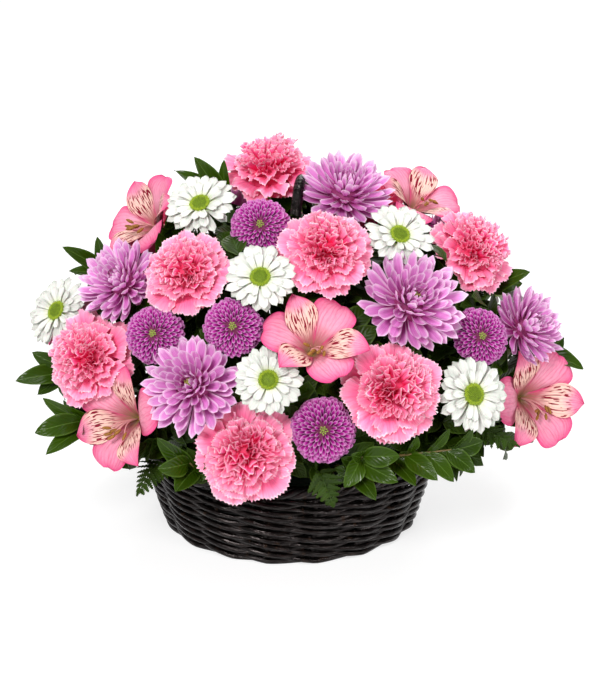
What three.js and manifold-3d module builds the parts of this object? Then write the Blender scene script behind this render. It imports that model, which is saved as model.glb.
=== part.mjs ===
// A flower arrangement grown round a dome in a low oval willow basket with a tall hoop handle.
// Millimetres, +Z up. The origin is the middle of the basket's flat base, and -Y is the front.
import * as THREE from "three";
import Module from "manifold-3d";

const wasm = await Module();
wasm.setup();
const { Manifold, Mesh } = wasm;

// ---- Driving dimensions ----
const BASE_HALF_WIDTH = 84; // basket, across X at the table
const WALL_FLARE = [[0, 84], [21, 90.5], [38, 95], [50.2, 97.5]]; // height, outer half-width
const DEPTH_RATIO = 0.95; // the basket is this much shallower along Y
const WALL_THICKNESS = 6;
const WEAVE_ROWS = 8;
const STAKES = 14;
const RIM = { height: 55, halfWidth: 94, thickness: 4.3, strands: 12 };
const HANDLE = { radius: 3.5, apex: 229, foot: 41, footY: 76.5, middleX: 7, twist: 0.14 };
const FOAM = { top: 50, hole: 19.5, floor: 10 };
const FIT_GAP = 0.35; // clearance between pieces that touch on the real thing
const STEM_RADIUS = 1.6;
const TOLERANCE = 0.05; // how far a joined surface may be simplified
const STALK_STEPS = 7; // straight lengths in a sprig's or frond's own stem
const HEART = new THREE.Vector3(0, 0, 70); // foliage turns its face away from here
const FACING_FRONT = new THREE.Vector3(0, 120, 0); // front blooms look away from here
const FACING_BACK = new THREE.Vector3(0, -60, 0); // back blooms look away from here

const COLOURS = {
  carnation: 0xf58fb4,
  alstroemeria: 0xf48bb0,
  daisy: 0xf6f7f1,
  lavenderMum: 0xbf8bdc,
  violetMum: 0xa24bb8,
  green: 0x3f7a2b,
  leaf: 0x35661f,
  fern: 0x2c5a22,
  willow: 0x1d1714,
  cane: 0x241b17,
  foam: 0x2f5c38,
  liner: 0x14150f,
};

// Blooms: name, middle of the face, diameter.
const CARNATIONS = [
  ["carnation_1", [-14, 38, 230], 62],
  ["carnation_2", [-63, -67, 193], 57],
  ["carnation_3", [22, -65, 206], 61],
  ["carnation_4", [118, -8, 188], 61],
  ["carnation_5", [-125, -68, 137], 63],
  ["carnation_6", [63, -105, 130], 66],
  ["carnation_7", [-26, -118, 95], 65],
  ["carnation_8", [58, 64, 196], 63],
  ["carnation_9", [-95, 62, 179], 62],
  ["carnation_10", [2, 110, 141], 66],
];
// An alstroemeria also has its turn about its own axis, and may have its own point to look away from.
const ALSTROEMERIAS = [
  ["alstroemeria_1", [-98, 16, 203], 61, 1.05, [1, 73, 105]],
  ["alstroemeria_2", [86, 30, 214], 58, 1.15],
  ["alstroemeria_3", [15, -101, 164], 65, 0.33, [5, -12, 44]],
  ["alstroemeria_4", [-107, -91, 106], 67, -0.07, [-17, 17, 55]],
  ["alstroemeria_5", [161, -33, 95], 70, 0.3, [86, 87, 45]],
  ["alstroemeria_6", [66, 104, 122], 64, 3.5],
  ["alstroemeria_7", [-138, 42, 126], 63, 4.2],
];
const DAISIES = [
  ["daisy_1", [-55, -23, 220], 47],
  ["daisy_2", [-17, -81, 192], 45],
  ["daisy_3", [67, -45, 207], 46],
  ["daisy_4", [-146, -26, 151], 47],
  ["daisy_5", [-12, -112, 139], 44],
  ["daisy_6", [111, -86, 119], 50],
  ["daisy_7", [13, 88, 186], 48],
  ["daisy_8", [-104, 86, 132], 48],
  ["daisy_9", [137, 52, 140], 48],
];
const LAVENDER_MUMS = [
  ["lavender_mum_1", [-105, -50, 181], 59],
  ["lavender_mum_2", [36, -5, 227], 63],
  ["lavender_mum_3", [75, -76, 177], 72],
  ["lavender_mum_4", [-59, -105, 134], 67],
  ["lavender_mum_5", [153, -23, 141], 57],
  ["lavender_mum_6", [-42, 82, 190], 64],
  ["lavender_mum_7", [106, 62, 171], 61],
  ["lavender_mum_8", [-54, 107, 128], 65],
];
const VIOLET_MUMS = [
  ["violet_mum_1", [-18, -47, 218], 40],
  ["violet_mum_2", [-83, -85, 160], 40],
  ["violet_mum_3", [-34, -96, 169], 40],
  ["violet_mum_4", [120, -65, 151], 40],
  ["violet_mum_5", [21, -118, 110], 43],
  ["violet_mum_6", [113, 84, 116], 44],
  ["violet_mum_7", [-140, 20, 90], 43],
];

// Petal layers of the ball-shaped blooms, from the neck to the crown, in shares of the radius:
// reach and height of the ring, how deep its petal tips are cut, and how much it waves.
const CARNATION_LAYERS = [
  { reach: 0.17, height: -0.78, cut: 0, wave: 0 },
  { reach: 0.64, height: -0.28, cut: 0, wave: 0 },
  { reach: 0.96, height: -0.04, cut: 0.07, wave: 0.06 },
  { reach: 0.66, height: 0.03, cut: 0, wave: 0.02 },
  { reach: 0.76, height: 0.23, cut: -0.08, wave: 0.05 },
  { reach: 0.4, height: 0.19, cut: 0, wave: 0.02 },
  { reach: 0.44, height: 0.38, cut: 0.07, wave: 0.04 },
];
const LAVENDER_LAYERS = [
  { reach: 0.16, height: -0.6, cut: 0, wave: 0 },
  { reach: 0.7, height: -0.34, cut: 0, wave: 0 },
  { reach: 0.9, height: -0.12, cut: 0.14, wave: 0.03 },
  { reach: 0.72, height: 0.0, cut: 0, wave: 0.01 },
  { reach: 0.77, height: 0.17, cut: -0.13, wave: 0.02 },
  { reach: 0.48, height: 0.22, cut: 0, wave: 0.01 },
  { reach: 0.51, height: 0.34, cut: 0.1, wave: 0.02 },
];
const VIOLET_LAYERS = [
  { reach: 0.2, height: -0.55, cut: 0, wave: 0 },
  { reach: 0.94, height: -0.12, cut: 0.08, wave: 0.02 },
  { reach: 0.74, height: 0.08, cut: 0, wave: 0 },
  { reach: 0.79, height: 0.28, cut: -0.08, wave: 0.02 },
  { reach: 0.4, height: 0.38, cut: 0.04, wave: 0 },
];
const BALLS = {
  carnation: { samples: 18, layers: CARNATION_LAYERS, foot: -0.8, crown: 0.3 },
  lavenderMum: { samples: 20, layers: LAVENDER_LAYERS, foot: -0.62, crown: 0.32 },
  violetMum: { samples: 14, layers: VIOLET_LAYERS, foot: -0.57, crown: 0.4 },
};
const DAISY = { rays: 14, eye: 0.34, cup: 0.1, notch: 0.8, under: 0.07, over: 0.05 };
const TEPAL = { reach: [0.4, 0.8, 1, 0.8], depth: 0.72, thickness: 0.1, foot: -0.97 };

// Foliage. A sprig is a stem with leaves: where each leaf leaves the stem (0 root, 1 tip), where the
// leaf's own tip is, and its width. A fern frond is a stem with pairs of leaflets along its outer part.
const SPRIGS = [
  ["sprig_left", [[-46, -26, 26], [-58, -32, 58], [-106, -54, 80], [-128, -68, 94]], [
    [1, [-157, -77, 91], 15], [0.9, [-150, -84, 79], 14], [0.86, [-152, -68, 110], 14],
    [0.7, [-124, -52, 66], 14],
  ]],
  ["sprig_front_left", [[-26, -46, 26], [-31, -56, 58], [-52, -88, 66], [-60, -104, 82]], [
    [1, [-78, -121, 86], 14], [0.86, [-68, -119, 70], 15], [0.95, [-79, -109, 101], 13],
  ]],
  ["sprig_front_middle", [[24, -46, 26], [28, -58, 58], [36, -92, 72], [44, -112, 90]], [
    [1, [66, -118, 94], 14], [0.95, [33, -122, 74], 13], [0.9, [65, -122, 78], 14],
    [0.75, [52, -122, 66], 13],
  ]],
  ["sprig_front_right", [[44, -34, 26], [50, -42, 58], [66, -98, 84], [100, -102, 90]], [
    [0.6, [76, -117, 74], 13], [0.72, [89, -116, 76], 13], [0.84, [99, -112, 74], 12],
    [1, [117, -100, 95], 13], [0.95, [112, -107, 78], 12],
  ]],
  ["sprig_back_left", [[-38, 42, 26], [-46, 50, 58], [-78, 84, 78], [-88, 96, 94]], [
    [1, [-112, 112, 96], 15], [0.95, [-84, 122, 90], 14], [0.8, [-104, 96, 74], 14],
  ]],
  ["sprig_back_right", [[38, 42, 26], [44, 50, 58], [78, 84, 76], [92, 98, 86]], [
    [1, [118, 110, 84], 15], [0.95, [96, 122, 78], 14], [0.8, [80, 108, 66], 13],
  ]],
];
const FRONDS = [
  ["fern_left", [[-36, -36, 26], [-44, -46, 58], [-80, -80, 70], [-94, -94, 55]], 25, 8],
  ["fern_front", [[4, -50, 26], [8, -60, 58], [18, -98, 73], [27, -112, 56]], 24, 7],
  ["fern_right", [[56, -16, 26], [62, -22, 58], [114, -66, 88], [142, -80, 82]], 22, 8],
  ["fern_back", [[-6, 50, 26], [-8, 58, 58], [-12, 98, 76], [-16, 118, 62]], 26, 8],
];
// Leafy shoots that rise among the flower stems and are part of the same bunch.
const SHOOTS = [
  [[-42, 24, 206], [[1, [-73, 9, 233], 13], [1, [-61, 17, 240], 12], [0.96, [-42, 24, 240], 12]]],
  [[-116, 4, 166], [[1, [-144, -8, 188], 13], [1, [-123, 6, 190], 13], [0.95, [-141, -6, 171], 12]]],
  [[-140, -30, 112], [[1, [-173, -42, 110], 14], [1, [-160, -38, 99], 13], [0.95, [-163, -30, 125], 12]]],
  [[164, 4, 112], [[1, [190, -8, 105], 16], [1, [180, 14, 118], 14]]],
  [[130, 6, 156], [[1, [153, -4, 170], 13], [1, [150, 8, 158], 12]]],
];

// ---- Helpers ----
const point = (x, y, z) => new THREE.Vector3(x, y, z);
const pointFrom = (list) => new THREE.Vector3(...list);

/**
 * A closed solid through a stack of rings with the same number of points, anticlockwise as seen
 * from the top. Points at foot and crown close its ends; without them the last ring joins the first.
 */
function loft(rings, foot, crown) {
  const count = rings[0].length;
  const points = rings.flat();
  const faces = [];
  const at = (ring, k) => (ring % rings.length) * count + (k % count);
  const bands = foot ? rings.length - 1 : rings.length;
  for (let ring = 0; ring < bands; ring += 1) {
    for (let k = 0; k < count; k += 1) {
      faces.push(at(ring, k), at(ring, k + 1), at(ring + 1, k + 1));
      faces.push(at(ring, k), at(ring + 1, k + 1), at(ring + 1, k));
    }
  }
  if (foot) {
    points.push(foot, crown);
    for (let k = 0; k < count; k += 1) {
      faces.push(points.length - 2, at(0, k + 1), at(0, k));
      faces.push(points.length - 1, at(rings.length - 1, k), at(rings.length - 1, k + 1));
    }
  }
  return new Manifold(new Mesh({
    numProp: 3,
    vertProperties: new Float32Array(points.flatMap((p) => [p.x, p.y, p.z])),
    triVerts: new Uint32Array(faces),
  }));
}

/** A turned oval solid: ring heights with half-widths along X, widened in or out by a relief. */
function oval(profile, samples, relief = () => 0, foot = null, crown = null) {
  const rings = profile.map(([height, halfWidth], level) => {
    const ring = [];
    for (let k = 0; k < samples; k += 1) {
      const angle = (2 * Math.PI * (k + 0.5)) / samples;
      const reach = halfWidth + relief(k, level);
      ring.push(point(reach * Math.cos(angle), DEPTH_RATIO * reach * Math.sin(angle), height));
    }
    return ring;
  });
  return loft(rings, foot, crown);
}

/** A rod along a line of points, with its own radius at each. */
function rod(path, radii, sides) {
  let across = point(1, 0.2, 0.1);
  const rings = path.map((middle, step) => {
    const before = path[Math.max(step - 1, 0)];
    const after = path[Math.min(step + 1, path.length - 1)];
    const along = after.clone().sub(before).normalize();
    across = across.clone().addScaledVector(along, -across.dot(along)).normalize();
    const over = along.clone().cross(across);
    const ring = [];
    for (let k = 0; k < sides; k += 1) {
      const angle = (2 * Math.PI * k) / sides;
      const offset = across.clone().multiplyScalar(Math.cos(angle));
      offset.addScaledVector(over, Math.sin(angle));
      ring.push(middle.clone().addScaledVector(offset, radii[step]));
    }
    return ring;
  });
  return loft(rings, path[0].clone(), path[path.length - 1].clone());
}

/** Points along a curve that leaves the root and arrives at the end along a given direction. */
function bend(root, control, end, steps) {
  return new THREE.QuadraticBezierCurve3(root, control, end).getPoints(steps);
}

/** The largest connected body of a solid, without scraps that a cut left loose. */
function largest(solid) {
  const bodies = solid.decompose();
  bodies.sort((a, b) => b.volume() - a.volume());
  return bodies[0];
}

// ---- Blooms ----
/** Where a bloom sits and how it is turned. */
function bloomAt(kind, index, [name, place, diameter, turn = 0.7 * index, focus]) {
  const middle = pointFrom(place);
  const usual = place[1] > 40 ? FACING_BACK : FACING_FRONT;
  const facing = middle.clone().sub(focus ? pointFrom(focus) : usual).normalize();
  const right = point(0, 0, 1).cross(facing).normalize();
  const top = facing.clone().cross(right);
  const radius = diameter / 2;
  const body = middle.clone().addScaledVector(facing, -0.22 * radius);
  const core = radius * (kind === "daisy" ? DAISY.eye : 0.12); // never drawn in
  return { kind, name, middle, facing, right, top, radius, body, core, index, turn };
}

/** Flat walls, halfway between a bloom and each neighbour that presses on it. */
function wallsOf(bloom, blooms) {
  const walls = [];
  for (const other of blooms) {
    const away = other.body.clone().sub(bloom.body);
    const distance = away.length();
    if (other === bloom || distance > bloom.radius + other.radius) {
      continue;
    }
    away.normalize();
    const share = bloom.radius / (bloom.radius + other.radius);
    const onWall = bloom.body.clone().addScaledVector(away, distance * share - FIT_GAP / 2);
    walls.push({ away, onWall });
  }
  return walls;
}

/**
 * The rings of a bloom. Each upright section is drawn in where a neighbour presses on it, so that
 * its petals keep their layers. section(k) gives the reach and height of each ring at sample k.
 */
function bloomRings(bloom, samples, section) {
  const rings = section(0).map(() => []);
  for (let k = 0; k < samples; k += 1) {
    const angle = bloom.turn + (2 * Math.PI * k) / samples;
    const outward = bloom.right.clone().multiplyScalar(Math.cos(angle));
    outward.addScaledVector(bloom.top, Math.sin(angle));
    const steps = section(k, angle).map(([reach, height]) => ({
      reach: reach * bloom.radius,
      axis: bloom.middle.clone().addScaledVector(bloom.facing, height * bloom.radius),
    }));
    let room = 1;
    for (const { away, onWall } of bloom.walls) {
      for (const { reach, axis } of steps) {
        const spread = away.dot(outward) * reach;
        const free = -away.dot(axis.clone().sub(onWall));
        if (spread > 0 && free < spread * room) {
          room = Math.max(free / spread, 0.3);
        }
      }
    }
    steps.forEach(({ reach, axis }, ring) => {
      const kept = Math.max(reach * room, Math.min(reach, bloom.core));
      rings[ring].push(axis.clone().addScaledVector(outward, kept));
    });
  }
  return rings;
}

function onAxis(bloom, height) {
  return bloom.middle.clone().addScaledVector(bloom.facing, height * bloom.radius);
}

/** A ball-shaped bloom: whorls of petals with cut, waving lips over one another. */
function ball(bloom) {
  const { samples, layers, foot, crown } = BALLS[bloom.kind];
  const rings = bloomRings(bloom, samples, (k, angle = 0) => layers.map((layer, level) => {
    const tip = k % 2 ? 1 : -1;
    const wave = Math.cos(3 * angle + 2 * level + bloom.index);
    return [layer.reach + layer.cut * tip, layer.height + layer.wave * wave];
  }));
  return loft(rings, onAxis(bloom, foot), onAxis(bloom, crown));
}

/** A daisy: one whorl of rays round a hole that the green eye stands in. */
function daisy(bloom) {
  const { rays, eye, cup, notch, under, over } = DAISY;
  const rings = bloomRings(bloom, 2 * rays, (k) => {
    const tip = k % 2 ? 1 : notch;
    const lift = cup * tip + (k % 4 === 1 ? 0.05 : 0);
    return [[eye, -under], [tip, lift], [eye, over]];
  });
  return loft(rings);
}

/** An alstroemeria: a trumpet of six tepals, deeply parted, with stamens out of its throat. */
function alstroemeria(bloom) {
  const { reach, depth, thickness, foot } = TEPAL;
  const face = (out) => -depth * (1 - out) ** 1.4;
  const rings = bloomRings(bloom, 6 * reach.length, (k = 0) => {
    const lip = reach[k % reach.length];
    const lift = Math.floor(k / reach.length) % 2 ? 0.07 : -0.05;
    const middle = 0.52 * lip;
    return [
      [0.1, foot + 0.04],
      [middle, face(middle) - thickness + lift * middle],
      [lip, face(lip) + lift * lip],
      [middle, face(middle) + 0.02 + lift * middle],
    ];
  });
  const parts = [loft(rings, onAxis(bloom, foot), onAxis(bloom, -0.68))];
  for (let stamen = 0; stamen < 2; stamen += 1) {
    const angle = bloom.turn + 3 * stamen;
    const outward = bloom.right.clone().multiplyScalar(Math.cos(angle));
    outward.addScaledVector(bloom.top, Math.sin(angle));
    const tip = onAxis(bloom, -0.02).addScaledVector(outward, 0.2 * bloom.radius);
    parts.push(rod([onAxis(bloom, -0.75), tip], [1, 0.9], 3));
  }
  return Manifold.union(parts);
}

const blooms = [
  ...CARNATIONS.map((row, i) => bloomAt("carnation", i, row)),
  ...ALSTROEMERIAS.map((row, i) => bloomAt("alstroemeria", i, row)),
  ...DAISIES.map((row, i) => bloomAt("daisy", i, row)),
  ...LAVENDER_MUMS.map((row, i) => bloomAt("lavenderMum", i, row)),
  ...VIOLET_MUMS.map((row, i) => bloomAt("violetMum", i, row)),
];

// ---- Basket ----
function wallHalfWidth(height) {
  const next = Math.max(WALL_FLARE.findIndex(([z]) => z >= height), 1);
  const [z0, w0] = WALL_FLARE[next - 1];
  const [z1, w1] = WALL_FLARE[next];
  return w0 + ((w1 - w0) * (height - z0)) / (z1 - z0);
}

/** The woven wall: rods raised from its outside, each passing before one stake and behind the next. */
function basketWall() {
  const top = WALL_FLARE[WALL_FLARE.length - 1][0];
  const pitch = top / WEAVE_ROWS;
  const outside = [];
  for (let level = 0; level <= 2 * WEAVE_ROWS; level += 1) {
    const height = (level * pitch) / 2;
    outside.push([height, wallHalfWidth(height)]);
  }
  const inside = [top, top * 0.5, 0].map((z) => [z, wallHalfWidth(z) - WALL_THICKNESS]);
  const relief = (k, level) => {
    if (level > 2 * WEAVE_ROWS) {
      return 0;
    }
    if (level % 2 === 0) {
      return k % 2 ? -1.6 : -2.6;
    }
    const row = (level - 1) / 2;
    const stake = (k - 1) / 2;
    if (k % 2 === 0) {
      return -1.1;
    }
    return (row + stake) % 2 ? 0 : -1.9;
  };
  return oval([...outside, ...inside], 2 * STAKES, relief);
}

/** The plaited border on top of the wall. */
function basketRim() {
  const { height, halfWidth, thickness, strands } = RIM;
  const sides = 6;
  const profile = [];
  for (let side = 0; side < sides; side += 1) {
    const angle = (2 * Math.PI * (side - 1.5)) / sides;
    profile.push([height + thickness * Math.sin(angle), halfWidth + thickness * Math.cos(angle)]);
  }
  const relief = (k, side) => (side < 3 && (k + side) % 3 === 0 ? 0.5 : -0.4);
  return oval(profile, 3 * strands, relief);
}

/** The hoop handle's middle line, from the front foot over the top to the back foot. */
function handlePath(steps) {
  const { apex, foot, footY, middleX, twist } = HANDLE;
  const reach = Math.sqrt((apex - foot) / (apex - FOAM.top)) * footY;
  const path = [];
  for (let step = 0; step <= steps; step += 1) {
    const y = -reach * Math.cos((Math.PI * step) / steps);
    const height = apex - (apex - FOAM.top) * (y / footY) ** 2;
    const lean = Math.abs(y) > footY ? Math.sign(y) * footY : y;
    path.push(point(middleX + twist * lean, lean, height));
  }
  return path;
}

function basketHandle() {
  const path = handlePath(22);
  return rod(path, path.map((_, step) => HANDLE.radius - 0.4 * (step % 2)), 6);
}

function basketBase() {
  const halfWidth = BASE_HALF_WIDTH - WALL_THICKNESS - 0.6;
  const outline = [[0, halfWidth], [3.6, halfWidth]];
  return oval(outline, 20, () => 0, point(0, 0, 0), point(0, 0, 3.6));
}

function liner() {
  const outline = [[4, 67], [10, 71], [48, 76], [48, 74.7], [10.5, 69.6], [5.4, 66]];
  return oval(outline, 20, () => 0, point(0, 0, 4), point(0, 0, 5.4));
}

// ---- Stems and foliage ----
/** One leaf: two faces folded along a midrib, with a waving edge. */
function leaf(base, tip, width, heart = HEART) {
  const along = tip.clone().sub(base).normalize();
  const outward = base.clone().lerp(tip, 0.5).sub(heart);
  outward.addScaledVector(along, -outward.dot(along)).normalize();
  const across = outward.clone().cross(along);
  const rings = [[0.2, 0.34, 0.1], [0.5, 0.5, 0.02], [0.8, 0.33, 0.09]].map(([share, half, fold]) => {
    const middle = base.clone().lerp(tip, share);
    middle.addScaledVector(outward, 0.35 * width * share * (1 - share) * 2);
    const edge = middle.clone().addScaledVector(outward, fold * width);
    return [
      edge.clone().addScaledVector(across, half * width),
      middle.clone().addScaledVector(outward, 0.9),
      edge.clone().addScaledVector(across, -half * width),
      middle.clone().addScaledVector(outward, -0.9),
    ];
  });
  return loft(rings, base, tip);
}

/** A fern frond's blade: leaflets in pairs, each parted from the next, along a midrib. */
function frondBlade(line, width, pairs) {
  const steps = 2 * pairs;
  const rings = [];
  for (let step = 1; step < steps; step += 1) {
    const share = step / steps;
    const middle = line.getPoint(0.42 + 0.58 * share);
    const along = line.getTangent(0.42 + 0.58 * share);
    const outward = middle.clone().sub(HEART);
    outward.addScaledVector(along, -outward.dot(along)).normalize();
    const across = outward.clone().cross(along);
    const full = (width / 2) * Math.sin(Math.PI * Math.min(share * 0.62 + 0.36, 1));
    const half = step % 2 ? full : 0.34 * full;
    const edge = middle.clone().addScaledVector(along, step % 2 ? 3 : 0);
    rings.push([
      edge.clone().addScaledVector(across, half),
      middle.clone().addScaledVector(outward, 0.8),
      edge.clone().addScaledVector(across, -half),
      middle.clone().addScaledVector(outward, -0.8),
    ]);
  }
  return loft(rings, line.getPoint(0.41), line.getPoint(1));
}

/** Cuts a piece of foliage clear of the blooms it bends round. */
function clearOfBlooms(solid, hulls) {
  let left = solid;
  const box = solid.boundingBox();
  for (const hull of hulls) {
    const other = hull.boundingBox();
    const apart = [0, 1, 2].some((i) => box.max[i] < other.min[i] || box.min[i] > other.max[i]);
    if (!apart) {
      left = left.subtract(hull);
    }
  }
  return largest(left);
}

function stalkLine(stops) {
  return new THREE.CatmullRomCurve3(stops.map(pointFrom));
}

function sprig([, stops, leaves], hulls) {
  const line = stalkLine(stops);
  const path = line.getPoints(STALK_STEPS);
  const parts = [rod(path, path.map((_, step) => 1.7 - 0.1 * step), 4)];
  for (const [share, tip, width] of leaves) {
    parts.push(leaf(line.getPoint(Math.min(share, 0.985)), pointFrom(tip), width));
  }
  return clearOfBlooms(Manifold.union(parts), hulls);
}

function frond([, stops, width, pairs], hulls) {
  const line = stalkLine(stops);
  const path = line.getPoints(STALK_STEPS).slice(0, 5);
  const stalk = rod(path, path.map(() => 1.5), 4);
  return clearOfBlooms(stalk.add(frondBlade(line, width, pairs)), hulls);
}

/** The root of a stem on the dome of the gathered bunch. */
function rootToward(end) {
  const away = end.clone().sub(point(0, 0, 40)).normalize();
  return point(0, 0, FOAM.top - 3).addScaledVector(away, 12.5);
}

const FOOT_OF = { carnation: -0.8, lavenderMum: -0.62, violetMum: -0.57, alstroemeria: TEPAL.foot };
const CALYX_OF = { carnation: 4.6, lavenderMum: 3.6, violetMum: 3, alstroemeria: 2 };

function bloomStem(bloom) {
  const isDaisy = bloom.kind === "daisy";
  const height = isDaisy ? -0.14 : FOOT_OF[bloom.kind] - FIT_GAP / bloom.radius;
  const end = onAxis(bloom, height);
  const root = rootToward(end);
  const control = end.clone().addScaledVector(bloom.facing, -0.38 * root.distanceTo(end));
  const neck = end.clone().addScaledVector(bloom.facing, -7);
  const path = [...bend(root, control, neck, 2), end];
  const flare = isDaisy ? STEM_RADIUS : CALYX_OF[bloom.kind];
  const stem = rod(path, [2, STEM_RADIUS, STEM_RADIUS, flare], 4);
  return isDaisy ? stem.add(daisyEye(bloom)) : stem;
}

/** The green cup under a daisy and the eye that stands up through it. */
function daisyEye(bloom) {
  const outline = [[0.1, -0.26], [0.4, -0.115], [0.3, -0.1], [0.27, 0.1]];
  const rings = outline.map(() => []);
  for (let k = 0; k < 7; k += 1) {
    const angle = (2 * Math.PI * k) / 7;
    const outward = bloom.right.clone().multiplyScalar(Math.cos(angle));
    outward.addScaledVector(bloom.top, Math.sin(angle));
    outline.forEach(([reach, height], ring) => {
      rings[ring].push(onAxis(bloom, height).addScaledVector(outward, reach * bloom.radius));
    });
  }
  return loft(rings, onAxis(bloom, -0.28), onAxis(bloom, 0.15));
}

function shoot([place, leaves], hulls) {
  const end = pointFrom(place);
  const root = rootToward(end);
  const line = new THREE.LineCurve3(root, end);
  const parts = [rod([root, end], [1.8, 1.4], 4)];
  for (const [share, tip, width] of leaves) {
    const blade = leaf(line.getPoint(Math.min(share, 0.975)), pointFrom(tip), width, FACING_FRONT);
    const cut = clearOfBlooms(blade, hulls);
    parts.push(cut);
  }
  return Manifold.union(parts);
}

/** The bunch: all flower stems gathered below into one bundle that stands in the foam's hole. */
function flowerStems(hulls) {
  const bundle = [];
  const foot = FOAM.floor + FIT_GAP;
  for (const [height, reach] of [[foot, 14.5], [FOAM.top - 2, 15], [FOAM.top + 8, 11]]) {
    const ring = [];
    for (let k = 0; k < 10; k += 1) {
      const angle = (Math.PI * k) / 5;
      const lobe = reach + (k % 2 ? 1.2 : 0);
      ring.push(point(lobe * Math.cos(angle), lobe * Math.sin(angle), height));
    }
    bundle.push(ring);
  }
  const core = loft(bundle, point(0, 0, foot), point(0, 0, FOAM.top + 12));
  const shoots = SHOOTS.map((row) => shoot(row, hulls));
  return largest(Manifold.union([core, ...blooms.map(bloomStem), ...shoots])).simplify(TOLERANCE);
}

/** The soaked foam: one plain hole for the bunch and one for each sprig and frond. */
function floralFoam() {
  const outline = [[5.8, 65], [10.9, 69], [44, 73.6], [FOAM.top, 69]];
  const block = oval(outline, 20, () => 0, point(0, 0, 5.8), point(0, 0, FOAM.top));
  const hole = Manifold.cylinder(FOAM.top, FOAM.hole, FOAM.hole, 12);
  const cuts = [hole.translate([0, 0, FOAM.floor])];
  for (const [, stops] of [...SPRIGS, ...FRONDS]) {
    const path = stalkLine(stops).getPoints(STALK_STEPS).slice(0, 4);
    path[0].z -= FIT_GAP;
    cuts.push(rod(path, path.map(() => 2.3), 4));
  }
  return block.subtract(Manifold.union(cuts)).simplify(TOLERANCE);
}

// ---- The arrangement ----
const arrangement = new THREE.Group();
arrangement.name = "flower_basket_arrangement";

function addPiece(name, solid, colour, roughness) {
  const mesh = solid.getMesh();
  const positions = new Float32Array(mesh.numVert * 3);
  for (let i = 0; i < mesh.numVert; i += 1) {
    for (let axis = 0; axis < 3; axis += 1) {
      positions[3 * i + axis] = mesh.vertProperties[mesh.numProp * i + axis];
    }
  }
  const geometry = new THREE.BufferGeometry();
  geometry.setAttribute("position", new THREE.BufferAttribute(positions, 3));
  geometry.setIndex(new THREE.BufferAttribute(new Uint32Array(mesh.triVerts), 1));
  geometry.computeVertexNormals();
  const material = new THREE.MeshStandardMaterial({ color: colour, roughness, metalness: 0 });
  const piece = new THREE.Mesh(geometry, material);
  piece.name = name;
  arrangement.add(piece);
}

const handleRoom = rod(handlePath(22), new Array(23).fill(HANDLE.radius + 0.6), 6);
for (const bloom of blooms) {
  bloom.walls = wallsOf(bloom, blooms);
  const maker = { daisy, alstroemeria }[bloom.kind] ?? ball;
  const whole = maker(bloom);
  const touches = whole.intersect(handleRoom).volume() > 0;
  bloom.solid = touches ? largest(whole.subtract(handleRoom)) : whole;
  const { x, y, z } = bloom.body;
  const grown = 1 + 0.8 / bloom.radius;
  bloom.hull = bloom.solid.hull().translate([-x, -y, -z]).scale(grown).translate([x, y, z]);
  addPiece(bloom.name, bloom.solid, COLOURS[bloom.kind], 0.7);
}
const hulls = blooms.map((bloom) => bloom.hull);

addPiece("flower_stems", flowerStems(hulls), COLOURS.green, 0.6);
SPRIGS.forEach((row) => addPiece(row[0], sprig(row, hulls), COLOURS.leaf, 0.4));
FRONDS.forEach((row) => addPiece(row[0], frond(row, hulls), COLOURS.fern, 0.5));
addPiece("basket_wall", basketWall(), COLOURS.willow, 0.5);
addPiece("basket_rim", basketRim(), COLOURS.willow, 0.5);
addPiece("basket_handle", basketHandle(), COLOURS.cane, 0.5);
addPiece("basket_base", basketBase(), COLOURS.willow, 0.6);
addPiece("floral_foam", floralFoam(), COLOURS.foam, 0.9);
addPiece("liner", liner(), COLOURS.liner, 0.4);

export default arrangement;
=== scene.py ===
"""A flower arrangement in a dark willow basket: petals, foliage, weave and the stage it stands on."""

import random
from collections import namedtuple
from math import atan2, copysign, cos, exp, hypot, pi, radians, sin, sqrt, tau

import bmesh
import bpy
from bpy.props import FloatProperty, FloatVectorProperty, IntProperty, PointerProperty
from mathutils import Matrix, Vector
from mathutils.geometry import interpolate_bezier


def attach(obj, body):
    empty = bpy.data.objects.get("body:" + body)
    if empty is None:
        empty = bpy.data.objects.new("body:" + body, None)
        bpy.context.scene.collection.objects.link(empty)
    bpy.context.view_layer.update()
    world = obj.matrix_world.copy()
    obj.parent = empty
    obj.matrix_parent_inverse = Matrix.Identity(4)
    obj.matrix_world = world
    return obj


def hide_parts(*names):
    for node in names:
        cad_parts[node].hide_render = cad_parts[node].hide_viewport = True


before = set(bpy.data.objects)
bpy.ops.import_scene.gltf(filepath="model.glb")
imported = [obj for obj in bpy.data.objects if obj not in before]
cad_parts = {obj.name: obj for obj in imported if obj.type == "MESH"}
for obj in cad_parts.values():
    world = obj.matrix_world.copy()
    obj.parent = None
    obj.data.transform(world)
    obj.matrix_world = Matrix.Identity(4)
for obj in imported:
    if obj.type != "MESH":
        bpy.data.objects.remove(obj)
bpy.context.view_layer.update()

bl_info = {
    "name": "Flower basket arrangement",
    "version": (1, 0, 0),
    "blender": (4, 5, 0),
    "location": "View3D > Sidebar > Flowers",
    "description": "Dresses a flower basket with petals, foliage and woven willow",
    "category": "Add Mesh",
}

MM = 0.001

# ---- Where things are, in millimetres, as in the solids ----

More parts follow.
